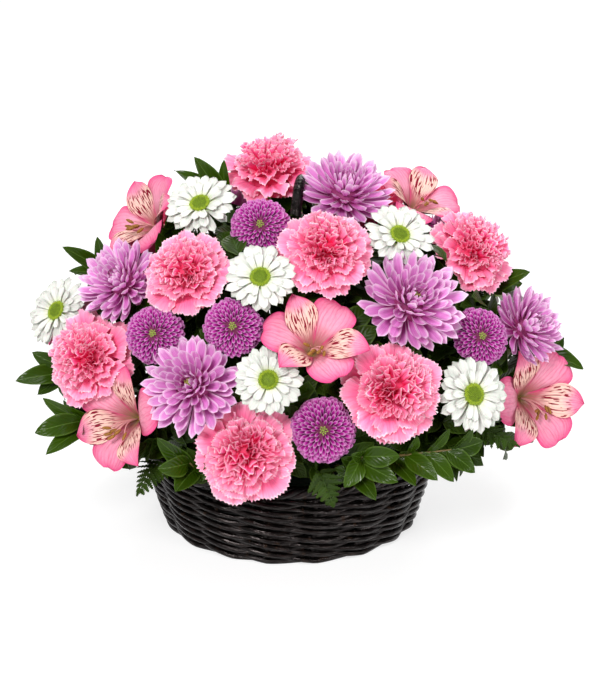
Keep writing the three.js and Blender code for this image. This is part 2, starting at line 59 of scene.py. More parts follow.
# A bloom's middle and width. An alstroemeria also has its turn about its own axis, and some have
# the point that they look away from.
BLOOMS = {
    "carnation": [
        ((-14, 38, 230), 62), ((-63, -67, 193), 57), ((22, -65, 206), 61), ((118, -8, 188), 61),
        ((-125, -68, 137), 63), ((63, -105, 130), 66), ((-26, -118, 95), 65), ((58, 64, 196), 63),
        ((-95, 62, 179), 62), ((2, 110, 141), 66),
    ],
    "alstroemeria": [
        ((-98, 16, 203), 61, 1.05, (1, 73, 105)), ((86, 30, 214), 58, 1.15),
        ((15, -101, 164), 65, 0.33, (5, -12, 44)), ((-107, -91, 106), 67, -0.07, (-17, 17, 55)),
        ((161, -33, 95), 70, 0.3, (86, 87, 45)), ((66, 104, 122), 64, 3.5), ((-138, 42, 126), 63, 4.2),
    ],
    "daisy": [
        ((-55, -23, 220), 47), ((-17, -81, 192), 45), ((67, -45, 207), 46), ((-146, -26, 151), 47),
        ((-12, -112, 139), 44), ((111, -86, 119), 50), ((13, 88, 186), 48), ((-104, 86, 132), 48),
        ((137, 52, 140), 48),
    ],
    "lavender_mum": [
        ((-105, -50, 181), 59), ((36, -5, 227), 63), ((75, -76, 177), 72), ((-59, -105, 134), 67),
        ((153, -23, 141), 57), ((-42, 82, 190), 64), ((106, 62, 171), 61), ((-54, 107, 128), 65),
    ],
    "violet_mum": [
        ((-18, -47, 218), 40), ((-83, -85, 160), 40), ((-34, -96, 169), 40), ((120, -65, 151), 40),
        ((21, -118, 110), 43), ((113, 84, 116), 44), ((-140, 20, 90), 43),
    ],
}

# What a kind of bloom has in shares of its radius: how far petals slip over a neighbour instead of
# being drawn in, the height of its stem's end, and its upright outline as (reach, height), which a
# neighbour presses on. The cup that its stem ends in has its radius in millimetres.
Kind = namedtuple("Kind", "give foot cup outline")
KINDS = {
    "carnation": Kind(0.7, -0.8, 4.6, [
        (0.17, -0.78), (0.64, -0.28), (1.03, -0.04), (0.84, 0.23), (0.5, 0.38)]),
    "alstroemeria": Kind(0.8, -0.97, 2.0, [(0.1, -0.93), (0.52, -0.35), (1.0, 0.04)]),
    "daisy": Kind(0.7, -0.14, 1.6, [(0.34, -0.07), (1.0, 0.1)]),
    "lavender_mum": Kind(0.7, -0.62, 3.6, [
        (0.16, -0.6), (0.7, -0.34), (1.03, -0.12), (0.88, 0.17), (0.6, 0.34)]),
    "violet_mum": Kind(0.5, -0.57, 3.0, [(0.2, -0.55), (1.02, -0.12), (0.87, 0.28), (0.44, 0.38)]),
}

# The twig's stops, then each leaf's place along the twig, its tip and its width.
SPRIGS = {
    "sprig_left": ([(-46, -26, 26), (-58, -32, 58), (-106, -54, 80), (-128, -68, 94)], [
        (1, (-157, -77, 91), 15), (0.9, (-150, -84, 79), 14), (0.86, (-152, -68, 110), 14),
        (0.7, (-124, -52, 66), 14)]),
    "sprig_front_left": ([(-26, -46, 26), (-31, -56, 58), (-52, -88, 66), (-60, -104, 82)], [
        (1, (-78, -121, 86), 14), (0.86, (-68, -119, 70), 15), (0.95, (-79, -109, 101), 13)]),
    "sprig_front_middle": ([(24, -46, 26), (28, -58, 58), (36, -92, 72), (44, -112, 90)], [
        (1, (66, -118, 94), 14), (0.95, (33, -122, 74), 13), (0.9, (65, -122, 78), 14),
        (0.75, (52, -122, 66), 13)]),
    "sprig_front_right": ([(44, -34, 26), (50, -42, 58), (66, -98, 84), (100, -102, 90)], [
        (0.6, (76, -117, 74), 13), (0.72, (89, -116, 76), 13), (0.84, (99, -112, 74), 12),
        (1, (117, -100, 95), 13), (0.95, (112, -107, 78), 12)]),
    "sprig_back_left": ([(-38, 42, 26), (-46, 50, 58), (-78, 84, 78), (-88, 96, 94)], [
        (1, (-112, 112, 96), 15), (0.95, (-84, 122, 90), 14), (0.8, (-104, 96, 74), 14)]),
    "sprig_back_right": ([(38, 42, 26), (44, 50, 58), (78, 84, 76), (92, 98, 86)], [
        (1, (118, 110, 84), 15), (0.95, (96, 122, 78), 14), (0.8, (80, 108, 66), 13)]),
}
# The stalk's stops, the frond's width and how many pairs of leaflets it has.
FRONDS = {
    "fern_left": ([(-36, -36, 26), (-44, -46, 58), (-80, -80, 70), (-94, -94, 55)], 25, 12),
    "fern_front": ([(4, -50, 26), (8, -60, 58), (18, -98, 73), (27, -112, 56)], 24, 11),
    "fern_right": ([(56, -16, 26), (62, -22, 58), (114, -66, 88), (142, -80, 82)], 29, 12),
    "fern_back": ([(-6, 50, 26), (-8, 58, 58), (-12, 98, 76), (-16, 118, 62)], 26, 12),
}
# The shoot's end, then the tip and width of each of its leaves.
SHOOTS = [
    ((-42, 24, 206), [((-73, 9, 233), 15), ((-61, 17, 240), 14), ((-42, 24, 236), 9)]),
    ((-116, 4, 166), [((-144, -8, 188), 11), ((-123, 6, 190), 11), ((-141, -6, 171), 10)]),
    ((-140, -30, 112), [((-173, -42, 110), 14), ((-160, -38, 99), 13), ((-163, -30, 125), 12)]),
    ((164, 4, 112), [((190, -8, 105), 16), ((180, 14, 118), 14)]),
    ((130, 6, 156), [((153, -4, 170), 13), ((150, 8, 158), 12)]),
]
# Places where the dome would be seen through without extra dark leaves, whose darkness is painted shade.
TUCKS = [
    (91, -20, 183), (116, -30, 165), (130, -15, 149), (136, -28, 122), (143, -22, 105), (95, -68, 90),
    (112, -46, 88), (-106, -45, 153), (-96, -52, 163), (5, -72, 166), (-127, -60, 98), (38, -90, 153),
    (-20, -60, 195), (45, -40, 205), (84, 42, 192), (-72, 2, 184), (0, 100, 160), (70, 85, 150),
    (-80, 85, 150), (-6, 20, 203), (130, -38, 88), (-92, -60, 76), (92, 30, 188), (98, -72, 78),
    (120, 30, 160), (-120, 20, 160), (125, 20, 100), (-115, 40, 110), (90, 85, 110), (-30, 100, 110),
    (-76, -55, 74), (139, -22, 72), (22, -80, 115), (93, -60, 94),
]

DOME_BASE = 82  # height that the dome of leaves is measured from
# The dark leaves named below are darkened as painted shade.
DOME = (158, 118, 142)  # half sizes of the dome that dark leaves spring in
TIP_DOME = (170, 127, 154)  # and of the one that their tips stay inside
LEAF_FLOOR, TIP_FLOOR = 60, 57  # dark leaves and their tips stay above these, over the rim

WALL_FLARE = [(0, 84), (21, 90.5), (38, 95), (50.2, 97.5)]  # the wall's half width at each height
WALL_TOP = WALL_FLARE[-1][0]
RIM_HEIGHT, RIM_HALF_WIDTH = 55, 94
DEPTH_RATIO = 0.95
FOAM_TOP = 50
HANDLE_TOP, HANDLE_FOOT, HANDLE_SPREAD = 229, 41, 76.5
HEART = Vector((0, 0, 70))  # what leaves turn away from
FRONT_WAY = Vector((0, -0.93, 0.36))  # the way that the front violet mums turn their eyes
SPIRAL, BEAD_SPIRAL = 2.39996, 2.4  # the turn from one floret or bead to the next
WAYS = 72  # how many ways round a bloom its room is measured in


# ---- Settings ----

def tint_setting(name, things, default):
    """A colour that the user may change."""
    return FloatVectorProperty(name=name, description="Colour of the " + things, subtype="COLOR",
                               size=3, min=0, max=1, default=default)


class PetalSettings(bpy.types.PropertyGroup):
    """Petal counts and colours."""

    carnation_pink: tint_setting("Carnation", "carnation petals", (0.93, 0.125, 0.335))
    carnation_edge: tint_setting("Carnation edge", "carnation petals' cut edge", (0.93, 0.41, 0.57))
    alstroemeria_pink: tint_setting("Alstroemeria", "alstroemeria tepals", (0.72, 0.095, 0.245))
    daisy_white: tint_setting("Daisy", "daisy rays", (0.70, 0.70, 0.655))
    daisy_eye: tint_setting("Daisy eye", "daisies' eyes", (0.23, 0.36, 0.003))
    lavender: tint_setting("Lavender mum", "lavender chrysanthemum petals", (0.65, 0.20, 0.55))
    violet: tint_setting("Violet mum", "violet chrysanthemum florets", (0.38, 0.016, 0.25))
    violet_florets: IntProperty(
        name="Violet florets", description="Florets in each violet chrysanthemum",
        default=300, min=60, max=500)


class FoliageSettings(bpy.types.PropertyGroup):
    """Leaves and stems."""

    leaf_green: tint_setting("Leaf", "glossy leaves", (0.010, 0.030, 0.0015))
    fern_green: tint_setting("Fern", "fern fronds", (0.012, 0.032, 0.004))
    stem_green: tint_setting("Stem", "flower stems", (0.05, 0.11, 0.015))
    filler_leaves: IntProperty(
        name="Filler leaves", description="Leaves that fill the dark space between the blooms",
        default=1200, min=0, max=2000)


class BasketSettings(bpy.types.PropertyGroup):
    """The willow basket."""

    willow: tint_setting("Willow", "stained willow", (0.0016, 0.0011, 0.0010))
    rod: FloatProperty(
        name="Rod", description="Thickness of a woven rod",
        default=0.0036, min=0.002, max=0.008, unit="LENGTH")
    rows: IntProperty(name="Rows", description="Woven rows in the wall", default=9, min=3, max=14)
    stakes: IntProperty(name="Stakes", description="Upright stakes", default=18, min=8, max=30)


# ---- Shaping helpers ----

# What each point of a blade tells its colours: its place across and along, and the blade's tone.
BLADE_VALUES = ("across", "along", "tone")


def new_sheet_mesh():
    """A mesh under work, with the values that petal and leaf colours are read from."""
    bm = bmesh.new()
    for name in BLADE_VALUES:
        bm.verts.layers.float.new(name)
    return bm


def paint(verts, slot):
    """Gives the faces on these points a material."""
    for face in {face for vert in verts for face in vert.link_faces}:
        face.material_index = slot


def lay_sheet(bm, across, along, place, tone, slot=0):
    """Lays a blade of across by along squares, put in place by place(u, t), u -1..1, t 0..1."""
    across_of, along_of, tone_of = (bm.verts.layers.float[name] for name in BLADE_VALUES)
    verts = bmesh.ops.create_grid(bm, x_segments=across, y_segments=along, size=1.0)["verts"]
    for vert in verts:
        u = vert.co.x
        t = (vert.co.y + 1) / 2
        vert[across_of] = u
        vert[along_of] = t
        vert[tone_of] = tone
        vert.co = place(u, t)
    if slot:
        paint(verts, slot)
    return verts


def weld(bm, verts, gap=1e-7):
    """Joins the points that lie on one another at a seam or a tip."""
    bmesh.ops.remove_doubles(bm, verts=verts, dist=gap)


def square_to(way, along):
    """The part of a way that is square to another, one unit long."""
    return (way - along * way.dot(along)).normalized()


def turned(right, top, angle):
    """A way at an angle from right towards top."""
    return right * cos(angle) + top * sin(angle)


def straight(foot, head, steps):
    """Points at equal steps from foot to head."""
    return [foot.lerp(head, k / steps) for k in range(steps + 1)]


def round_ring(values, angle):
    """The value at an angle, between those set at equal steps round a ring."""
    count = len(values)
    spot = angle / tau * count % count
    low = int(spot) % count
    return values[low] + (values[(low + 1) % count] - values[low]) * (spot - int(spot))


def dome(t, least=0.0):
    """Height of a half circle over t 0..1, never under the root of least."""
    return sqrt(max(1 - (2 * t - 1) ** 2, least))


def blade_width(t, root, growth, full):
    """Width of a petal along its length: it grows from its root and is round past full."""
    return min(root + growth * t, 1.0) * sqrt(max(1 - max((t - full) / (1 - full), 0) ** 2, 0.0))


def lay_tube(bm, path, radius, sides=8, tone=0.5, slot=0, steps=None):
    """A closed tube along a list of points; radius(t, u) gives its thickness."""
    frames = travelling_frames(path)

    def place(u, t):
        spot = t * (len(path) - 1)
        low = min(int(spot), len(path) - 2)
        part = spot - low
        side, over = (a.lerp(b, part).normalized() for a, b in zip(frames[low], frames[low + 1]))
        return path[low].lerp(path[low + 1], part) + turned(side, over, -pi * u) * radius(t, u)

    verts = lay_sheet(bm, sides, steps or len(path) - 1, place, tone, slot)
    weld(bm, verts)
    own = {vert for vert in verts if vert.is_valid}
    ends = [edge for edge in bm.edges if edge.is_boundary and edge.verts[0] in own]
    bmesh.ops.holes_fill(bm, edges=ends, sides=sides + 1)


def travelling_frames(path):
    """Side and over directions at each point of a path, with no twist between them."""
    side = Vector((0.31, 0.87, 0.38))
    frames = []
    for k in range(len(path)):
        along = (path[min(k + 1, len(path) - 1)] - path[max(k - 1, 0)]).normalized()
        side = square_to(side, along)
        frames.append((side, along.cross(side)))
    return frames


def smooth_path(stops):
    """A curve through the stops, in metres."""
    stops = [Vector(stop) * MM for stop in stops]
    per_stretch = 5
    points = []
    for k, (here, there) in enumerate(zip(stops, stops[1:])):
        before = stops[max(k - 1, 0)]
        after = stops[min(k + 2, len(stops) - 1)]
        reach = (there - here).length / 3
        pull_a = (there - before).normalized() * reach
        pull_b = (after - here).normalized() * reach
        part = interpolate_bezier(here, here + pull_a, there - pull_b, there, per_stretch + 1)
        points.extend(part if k == 0 else part[1:])
    return points


def along_path(path, share):
    """The point at a share of a path."""
    spot = min(max(share, 0), 1) * (len(path) - 1)
    low = min(int(spot), len(path) - 2)
    return path[low].lerp(path[low + 1], spot - low)


def new_object(bm, name, materials):
    """Turns a mesh under work into an object with its materials."""
    mesh = bpy.data.meshes.new(name)
    bm.to_mesh(mesh)
    bm.free()
    made = bpy.data.objects.new(name, mesh)
    bpy.context.scene.collection.objects.link(made)
    for material in materials:
        mesh.materials.append(material)
    return made


def finish_piece(bm, name, materials):
    """Turns a mesh under work into a smooth piece that rides on the arrangement."""
    piece = new_object(bm, name, materials)
    piece.data.shade_smooth()
    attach(piece, "root")
    return piece


# ---- Materials ----

class Finish:
    """A node material being built."""

    def __init__(self, name, roughness, shine=0.5):
        self.material = bpy.data.materials.new(name)
        self.material.use_nodes = True
        self.nodes = self.material.node_tree.nodes
        self.shader = self.nodes["Principled BSDF"]
        self.shade({"Roughness": roughness, "Specular IOR Level": shine})

    def feed(self, socket, value):
        """Gives a socket a number, a colour or what another node puts out."""
        if isinstance(value, bpy.types.NodeSocket):
            self.material.node_tree.links.new(value, socket)
        else:
            socket.default_value = (*value, 1) if socket.type == "RGBA" else value

    def node(self, kind, fed, output=0, **values):
        """Adds a node, feeds its inputs by name or number, and gives back one of its outputs."""
        node = self.nodes.new(kind)
        for key, value in values.items():
            setattr(node, key, value)
        for key, value in fed.items():
            self.feed(node.inputs[key], value)
        return node.outputs[output]

    def shade(self, fed):
        """Feeds the shader's own sockets."""
        for name, value in fed.items():
            self.feed(self.shader.inputs[name], value)

    def soften(self, share):
        """Lets light run a little way inside, as in a petal."""
        self.shade({"Subsurface Weight": share, "Subsurface Radius": (1.0, 0.6, 0.8),
                    "Subsurface Scale": 0.004})

    def blade(self):
        """The values that lay_sheet leaves: across, along and tone."""
        self.blade_values = [self.node("ShaderNodeAttribute", {}, "Fac", attribute_name=name)
                             for name in BLADE_VALUES]
        return self.blade_values

    def math(self, operation, *values):
        return self.node("ShaderNodeMath", dict(enumerate(values)), operation=operation)

    def times(self, first, second):
        return self.math("MULTIPLY", first, second)

    def plus(self, first, second):
        return self.math("ADD", first, second)

    def minus(self, first, second):
        return self.math("SUBTRACT", first, second)

    def scaled(self, value, factor, start):
        return self.math("MULTIPLY_ADD", value, factor, start)

    def vector(self, x, y, z):
        return self.node("ShaderNodeCombineXYZ", {"X": x, "Y": y, "Z": z})

    def ramp(self, source, *stops):
        """Colours or greys at places along a value."""
        node = self.nodes.new("ShaderNodeValToRGB")
        elements = node.color_ramp.elements
        while len(elements) < len(stops):
            elements.new(0.5)
        for element, (position, colour) in zip(elements, stops):
            element.position = position
            element.color = (colour, colour, colour, 1) if isinstance(colour, (int, float)) else (*colour, 1)
        self.feed(node.inputs["Fac"], source)
        return node.outputs["Color"]

    def mix(self, share, first, second, blend="MIX"):
        fed = {0: share, 6: first, 7: second}  # the node's colour sockets come after its number ones
        return self.node("ShaderNodeMix", fed, 2, data_type="RGBA", blend_type=blend)

    def darken(self, colour, grey):
        return self.mix(1.0, colour, self.vector(grey, grey, grey), "MULTIPLY")

    def noise(self, scale, detail, place=None):
        if place is None:
            place = self.node("ShaderNodeTexCoord", {}, "Object")
        return self.node("ShaderNodeTexNoise", {"Vector": place, "Scale": scale, "Detail": detail})

    def grain(self, across, along, tone, detail=2.0):
        """Noise drawn out over the blade by these factors, and different on each blade."""
        pairs = zip(self.blade_values, (across, along, tone))
        return self.noise(1.0, detail, self.vector(*(self.times(*pair) for pair in pairs)))

    def bump(self, height, strength, distance):
        fed = {"Height": height, "Strength": strength, "Distance": distance}
        self.shade({"Normal": self.node("ShaderNodeBump", fed)})


def darker(colour, share):
    return tuple(part * share for part in colour)


def blended(first, second, share):
    return tuple(a + (b - a) * share for a, b in zip(first, second))


def petal_finish(name, stops, veins, vein_depth=0.15, bump=0.35, rim=None, through=None, shine=0.1):
    """Soft petal: colour runs from its root to its tip, with fine lengthwise veins and a rim; darkened roots
    are partly painted shade, a pale rim is partly painted highlight, and through adds a painted glow.
    """
    finish = Finish(name, 0.55, shine)
    across, along, tone = finish.blade()
    drift = finish.grain(2.0, 1.0, 31.0)
    # Root-to-tip ramp: where the stops darken and deepen the root, that is partly painted shade between
    # petals.
    base = finish.ramp(finish.plus(along, finish.times(finish.minus(drift, 0.5), 0.16)), *stops)
    # A pale rim colour is partly painted highlight along the petal's edges.
    if rim:
        colour, inside = rim
        edge = finish.ramp(finish.math("ABSOLUTE", across), (inside, 0), (1.0, 1))
        reach = finish.math("MINIMUM", finish.times(along, 1.6), 0.85)
        base = finish.mix(finish.times(edge, reach), base, colour)
    lines = finish.grain(veins, 1.4, 57.0, 1.0)
    lined = finish.scaled(lines, vein_depth * 2, 1.0 - vein_depth)
    toned = finish.times(lined, finish.scaled(tone, 0.16, 0.92))
    finish.shade({"Base Color": finish.darken(base, toned)})
    finish.bump(lines, bump, 0.0006)
    # Painted glow: an emission in the petal's colour that lifts its shaded parts, though a petal is no lamp.
    if through:
        finish.shade({"Emission Color": through, "Emission Strength": 0.05})
    finish.soften(0.25)
    return finish.material


def alstroemeria_finish(name, pink, streaked):
    """Silky tepal: a pale face inside a deeper rim, crisp lengthwise veins, and for the inner
    tepals a cream lower half crossed by dark dashes."""
    finish = Finish(name, 0.45, 0.1)
    across, along = finish.blade()[:2]
    edge = finish.math("ABSOLUTE", across)
    pale = blended(pink, (0.92, 0.80, 0.84), 0.32)
    face = finish.ramp(
        along, (0.0, (0.20, 0.17, 0.05)), (0.13, (0.42, 0.15, 0.15)), (0.34, pale),
        (0.70, blended(pink, pale, 0.6)), (0.94, pink), (0.985, darker(pink, 0.7)), (1.0, (0.20, 0.16, 0.03)))
    rim = finish.ramp(edge, (0.45, 0), (0.8, 0.45), (1.0, 0.95))
    colour = finish.mix(rim, face, (pink[0] * 0.97, pink[1] * 0.6, pink[2] * 0.85))
    if streaked:
        reach = finish.minus(along, finish.times(edge, 0.10))
        cream = finish.ramp(reach, (0.10, 0), (0.24, 0.72), (0.40, 0.72), (0.60, 0))
        colour = finish.mix(cream, colour, (0.80, 0.64, 0.48))
    wander = finish.grain(4.0, 2.5, 40.0)
    wave = finish.math("SINE", finish.plus(finish.times(across, 34.0), finish.times(wander, 11.0)))
    line = finish.math("POWER", finish.scaled(wave, 0.5, 0.5), 4.0)
    faint = finish.times(line, finish.times(wander, 0.6))
    colour = finish.mix(faint, colour, (pink[0] * 0.85, pink[1] * 0.4, pink[2] * 0.6))
    mottle = finish.grain(16.0, 11.0, 70.0, 3.0)
    colour = finish.darken(colour, finish.scaled(mottle, 0.5, 0.75))
    if streaked:
        marks = finish.ramp(finish.grain(13.0, 8.5, 40.0, 0.0), (0.56, 0), (0.60, 1))
        zone = finish.ramp(along, (0.14, 0), (0.22, 1), (0.50, 1), (0.62, 0))
        colour = finish.mix(finish.times(marks, zone), colour, (0.22, 0.006, 0.025))
    finish.shade({"Base Color": colour})
    finish.bump(line, 0.25, 0.0004)
    finish.soften(0.15)
    return finish.material


def leaf_finish(name, green, vein, roughness):
    """Glossy leaf: paler midrib and side veins, a slow change of green, and painted sheen: lighter
    yellow-green patches, tips and edge.
    """
    finish = Finish(name, roughness, 0.15)
    across, along, tone = finish.blade()
    edge = finish.math("ABSOLUTE", across)
    # light is a lighter yellow-green taken from the leaves' gloss; mixing towards it paints sheen, except for
    # the random tone of each leaf.
    light = blended(green, (0.12, 0.24, 0.004), 0.25)
    body = finish.mix(finish.times(finish.noise(60.0, 3.0), 0.7), darker(green, 0.30), light)
    body = finish.mix(finish.times(tone, 0.5), body, light)
    # Painted light: the leaf grows lighter towards its tip.
    body = finish.mix(finish.times(finish.math("POWER", along, 2.0), 0.3), body, light)
    # Painted highlight along the leaf's edge.
    rim = finish.ramp(edge, (0.80, 0), (0.96, 0.45))
    body = finish.mix(rim, body, blended(light, (0.18, 0.30, 0.06), 0.4))
    midrib = finish.ramp(edge, (0.0, 0.55), (0.04, 0.2), (0.08, 0))
    finish.shade({"Base Color": finish.mix(midrib, body, vein)})
    ribs = finish.math("SINE", finish.minus(finish.times(along, 42.0), finish.times(edge, 16.0)))
    finish.bump(finish.plus(ribs, finish.times(edge, 3.0)), 0.25, 0.0005)
    return finish.material


def plain_finish(name, first, second, scale, roughness, bump=0.2):
    """A mottled surface of two near colours with a fine bump."""
    finish = Finish(name, roughness)
    grain = finish.noise(scale, 4.0)
    finish.shade({"Base Color": finish.ramp(grain, (0.3, first), (0.7, second))})
    finish.bump(grain, bump, 0.0005)
    return finish.material


def willow_finish(colour):
    """Stained willow: near black, satin, with bark lines along each rod and worn brown flecks."""
    finish = Finish("willow", 0.3)
    tone = finish.blade()[2]
    bark = finish.grain(5.0, 60.0, 90.0, 3.0)
    fine = finish.grain(8.0, 90.0, 50.0)
    body = finish.ramp(bark, (0.35, darker(colour, 0.4)), (0.58, darker(colour, 1.4)),
                       (0.80, (0.016, 0.008, 0.006)))
    flecks = finish.ramp(finish.noise(170.0, 2.0), (0.63, 0), (0.70, 1))
    finish.shade({
        "Base Color": finish.mix(finish.times(flecks, 0.25), body, (0.06, 0.028, 0.014)),
        "Roughness": finish.scaled(bark, 0.28, finish.times(tone, 0.22)),
        "Specular Tint": (1.0, 0.86, 0.84),
        "Specular IOR Level": finish.scaled(finish.math("POWER", fine, 3.0), 1.7, 0.02),
    })
    finish.bump(finish.plus(bark, finish.times(fine, 0.5)), 0.7, 0.0008)
    return finish.material


# ---- Blooms ----

class Bloom:
    """One bloom's place and turn, and the room that its neighbours leave it."""

    def __init__(self, kind, index, place, width, turn=None, focus=None):
        self.kind = kind
        self.index = index
        self.name = f"{kind}_{index + 1}"
        self.middle = Vector(place)
        focus = Vector(focus or ((0, -60, 0) if place[1] > 40 else (0, 120, 0)))
        self.facing = (self.middle - focus).normalized()
        self.right = Vector((0, 0, 1)).cross(self.facing).normalized()
        self.top = self.facing.cross(self.right)
        self.radius = width / 2
        self.body = self.middle - self.facing * 0.22 * self.radius
        self.turn = index * 0.7 if turn is None else turn
        self.walls = []
        self.rooms = []

    def on_axis(self, height):
        return self.middle + self.facing * (height * self.radius)

    def outward(self, angle):
        return turned(self.right, self.top, angle)

    def petal_turn(self, level, k, count):
        """The turn of petal k in a whorl; each second whorl is set half a petal round."""
        return self.turn + tau * (k + 0.5 * (level % 2)) / count

    def press(self, others):
        """Finds the walls that stand between the bloom and its neighbours, and the room inside."""
        for other in others:
            away = other.body - self.body
            distance = away.length
            if other is self or distance > self.radius + other.radius:
                continue
            away.normalize()
            share = self.radius / (self.radius + other.radius)
            self.walls.append((away, self.body + away * (distance * share - 0.2)))
        self.rooms = [self.room_toward(tau * k / WAYS) for k in range(WAYS)]

    def room_toward(self, angle):
        room = 1.0
        for away, on_wall in self.walls:
            for reach, height in KINDS[self.kind].outline:
                spread = away.dot(self.outward(angle)) * reach * self.radius
                free = -away.dot(self.on_axis(height) - on_wall)
                if spread > 0 and free < spread * room:
                    room = max(free / spread, 0.3)
        return room

    def shows(self, point):
        """Says whether a leaf at this point, in mm, would cover the bloom's face."""
        rise = (point - self.middle).dot(self.facing)
        aside = (point - self.middle - self.facing * rise).length
        floor = 0.65 * aside - self.radius if self.kind == "alstroemeria" else -0.4 * self.radius
        return rise > floor and aside < (1.02 if rise < 0.7 * self.radius else 0.85) * self.radius

    def point(self, reach, angle, height):
        """A point of the bloom, in metres, drawn in where a neighbour presses."""
        room = 1 - (1 - round_ring(self.rooms, angle)) * (1 - KINDS[self.kind].give)
        spread = reach * room if reach > 0.36 or self.kind != "daisy" else reach
        return (self.on_axis(height) + self.outward(angle) * (spread * self.radius)) * MM

    def petal_point(self, out, side, turn, height, most, least=0.0):
        """A point out along a petal and to one side of it, no further from the axis than most."""
        return self.point(min(hypot(out, side), most), turn - atan2(side, max(out, least)), height)

    def begin(self, seed):
        """A mesh under work and the bloom's own draw of chances."""
        return new_sheet_mesh(), random.Random(seed + self.index)


def all_blooms():
    blooms = [Bloom(kind, index, *row) for kind, rows in BLOOMS.items() for index, row in enumerate(rows)]
    for bloom in blooms:
        bloom.press(blooms)
    return blooms


GARDEN = all_blooms()


def blooms_of(kind):
    return [bloom for bloom in GARDEN if bloom.kind == kind]


def lay_core(bm, bloom, low, high, steps, radius, sides, tone, slot):
    """The solid body that petals spring from, between two heights; radius(t) is a share."""
    path = straight(bloom.on_axis(low) * MM, bloom.on_axis(high) * MM, steps)
    lay_tube(bm, path, lambda t, u: radius(t) * bloom.radius * MM, sides, tone, slot)


def lay_bead(bm, bloom, centre, share, slot):
    """One small round bead, its radius a share of the bloom's."""
    made = bmesh.ops.create_icosphere(
        bm, subdivisions=1, radius=share * bloom.radius * MM, matrix=Matrix.Translation(centre))
    paint(made["verts"], slot)


def cut_edge(draw, squares, low, high):
    """Teeth of chance heights, up and down by turns."""
    return [draw.uniform(low, high) * (1 if k % 2 else -1) for k in range(squares + 1)]


def carnation_mesh(bloom):
    """Whorls of flat ribbed fans outside, and a crowd of standing, folded petals inside."""
    bm, draw = bloom.begin(100)
    whorls = [
        # petals, reach, height, half spread
        (7, 1.03, -0.24, 0.54),
        (7, 1.00, -0.11, 0.50),
        (8, 0.80, 0.02, 0.46),
        (7, 0.66, 0.15, 0.50),
    ]
    squares = 28
    for level, (count, reach, height, spread) in enumerate(whorls):
        for k in range(count):
            start = bloom.petal_turn(level, k, count) + draw.uniform(-0.2, 0.2)
            size = reach * draw.uniform(0.86, 1.02)
            lift = height + draw.uniform(-0.08, 0.08)
            phase = draw.uniform(0, 6.3)
            waves = draw.uniform(1.4, 2.8)
            teeth = cut_edge(draw, squares, 0.1, 1.6)

            def fan(u, t):
                rounding = 1 - 0.20 * abs(u) ** 2.6
                out = 0.05 + (size * rounding - 0.05) * t ** 0.85
                wave = sin(waves * u * pi + phase) * 0.075 * t * t
                ribs = 0.016 * sin(7 * pi * u + phase) * t
                rise = -0.5 + (lift + 0.5) * t ** 0.45 - 0.04 * t ** 6 + wave + ribs
                if t > 0.97:
                    out += 0.019 * teeth[round((u + 1) / 2 * squares)]
                turn = start - u * spread * (0.22 + 0.78 * t ** 0.8)
                return bloom.point(min(max(out, 0.01), 1.06), turn, rise)

            lay_sheet(bm, squares, 6, fan, draw.random())
    crowd = 36
    squares = 22
    for k in range(crowd):
        spot = 0.50 * sqrt((k + 0.6) / crowd)
        around = bloom.turn + k * SPIRAL + draw.uniform(-0.25, 0.25)
        twist = draw.uniform(-1.0, 1.0)
        half = draw.uniform(0.16, 0.27)
        top = 0.40 - 0.50 * spot * spot + draw.uniform(-0.10, 0.05)
        lean = 0.04 + 0.30 * spot
        phase = draw.uniform(0, 6.3)
        waves = draw.uniform(2.0, 3.4)
        teeth = cut_edge(draw, squares, 0.5, 1.4)

        def fold(u, t):
            ahead = (0.066 * sin(waves * pi * u + phase) + 0.016 * sin(6 * pi * u)) * t
            side = u * half * (0.35 + 0.65 * t ** 0.7)
            x = spot * (0.6 + 0.4 * t) + lean * t * t * 0.6 + ahead * cos(twist) - side * sin(twist)
            y = ahead * sin(twist) + side * cos(twist)
            height = -0.10 + (top + 0.10) * t - 0.05 * u * u * t
            if t > 0.97:
                height += 0.015 * teeth[round((u + 1) / 2 * squares)]
            return bloom.point(min(hypot(x, y), 1.0), around + atan2(y, x), height)

        lay_sheet(bm, squares, 5, fold, draw.random(), 1 if draw.random() > spot * 2.2 - 0.1 else 0)

    def cone(t):
        return 0.15 + 0.40 * sin(pi * t ** 1.3) ** 0.8

    lay_core(bm, bloom, -0.78, 0.1, 6, cone, 14, 0.2, 2)
    return bm


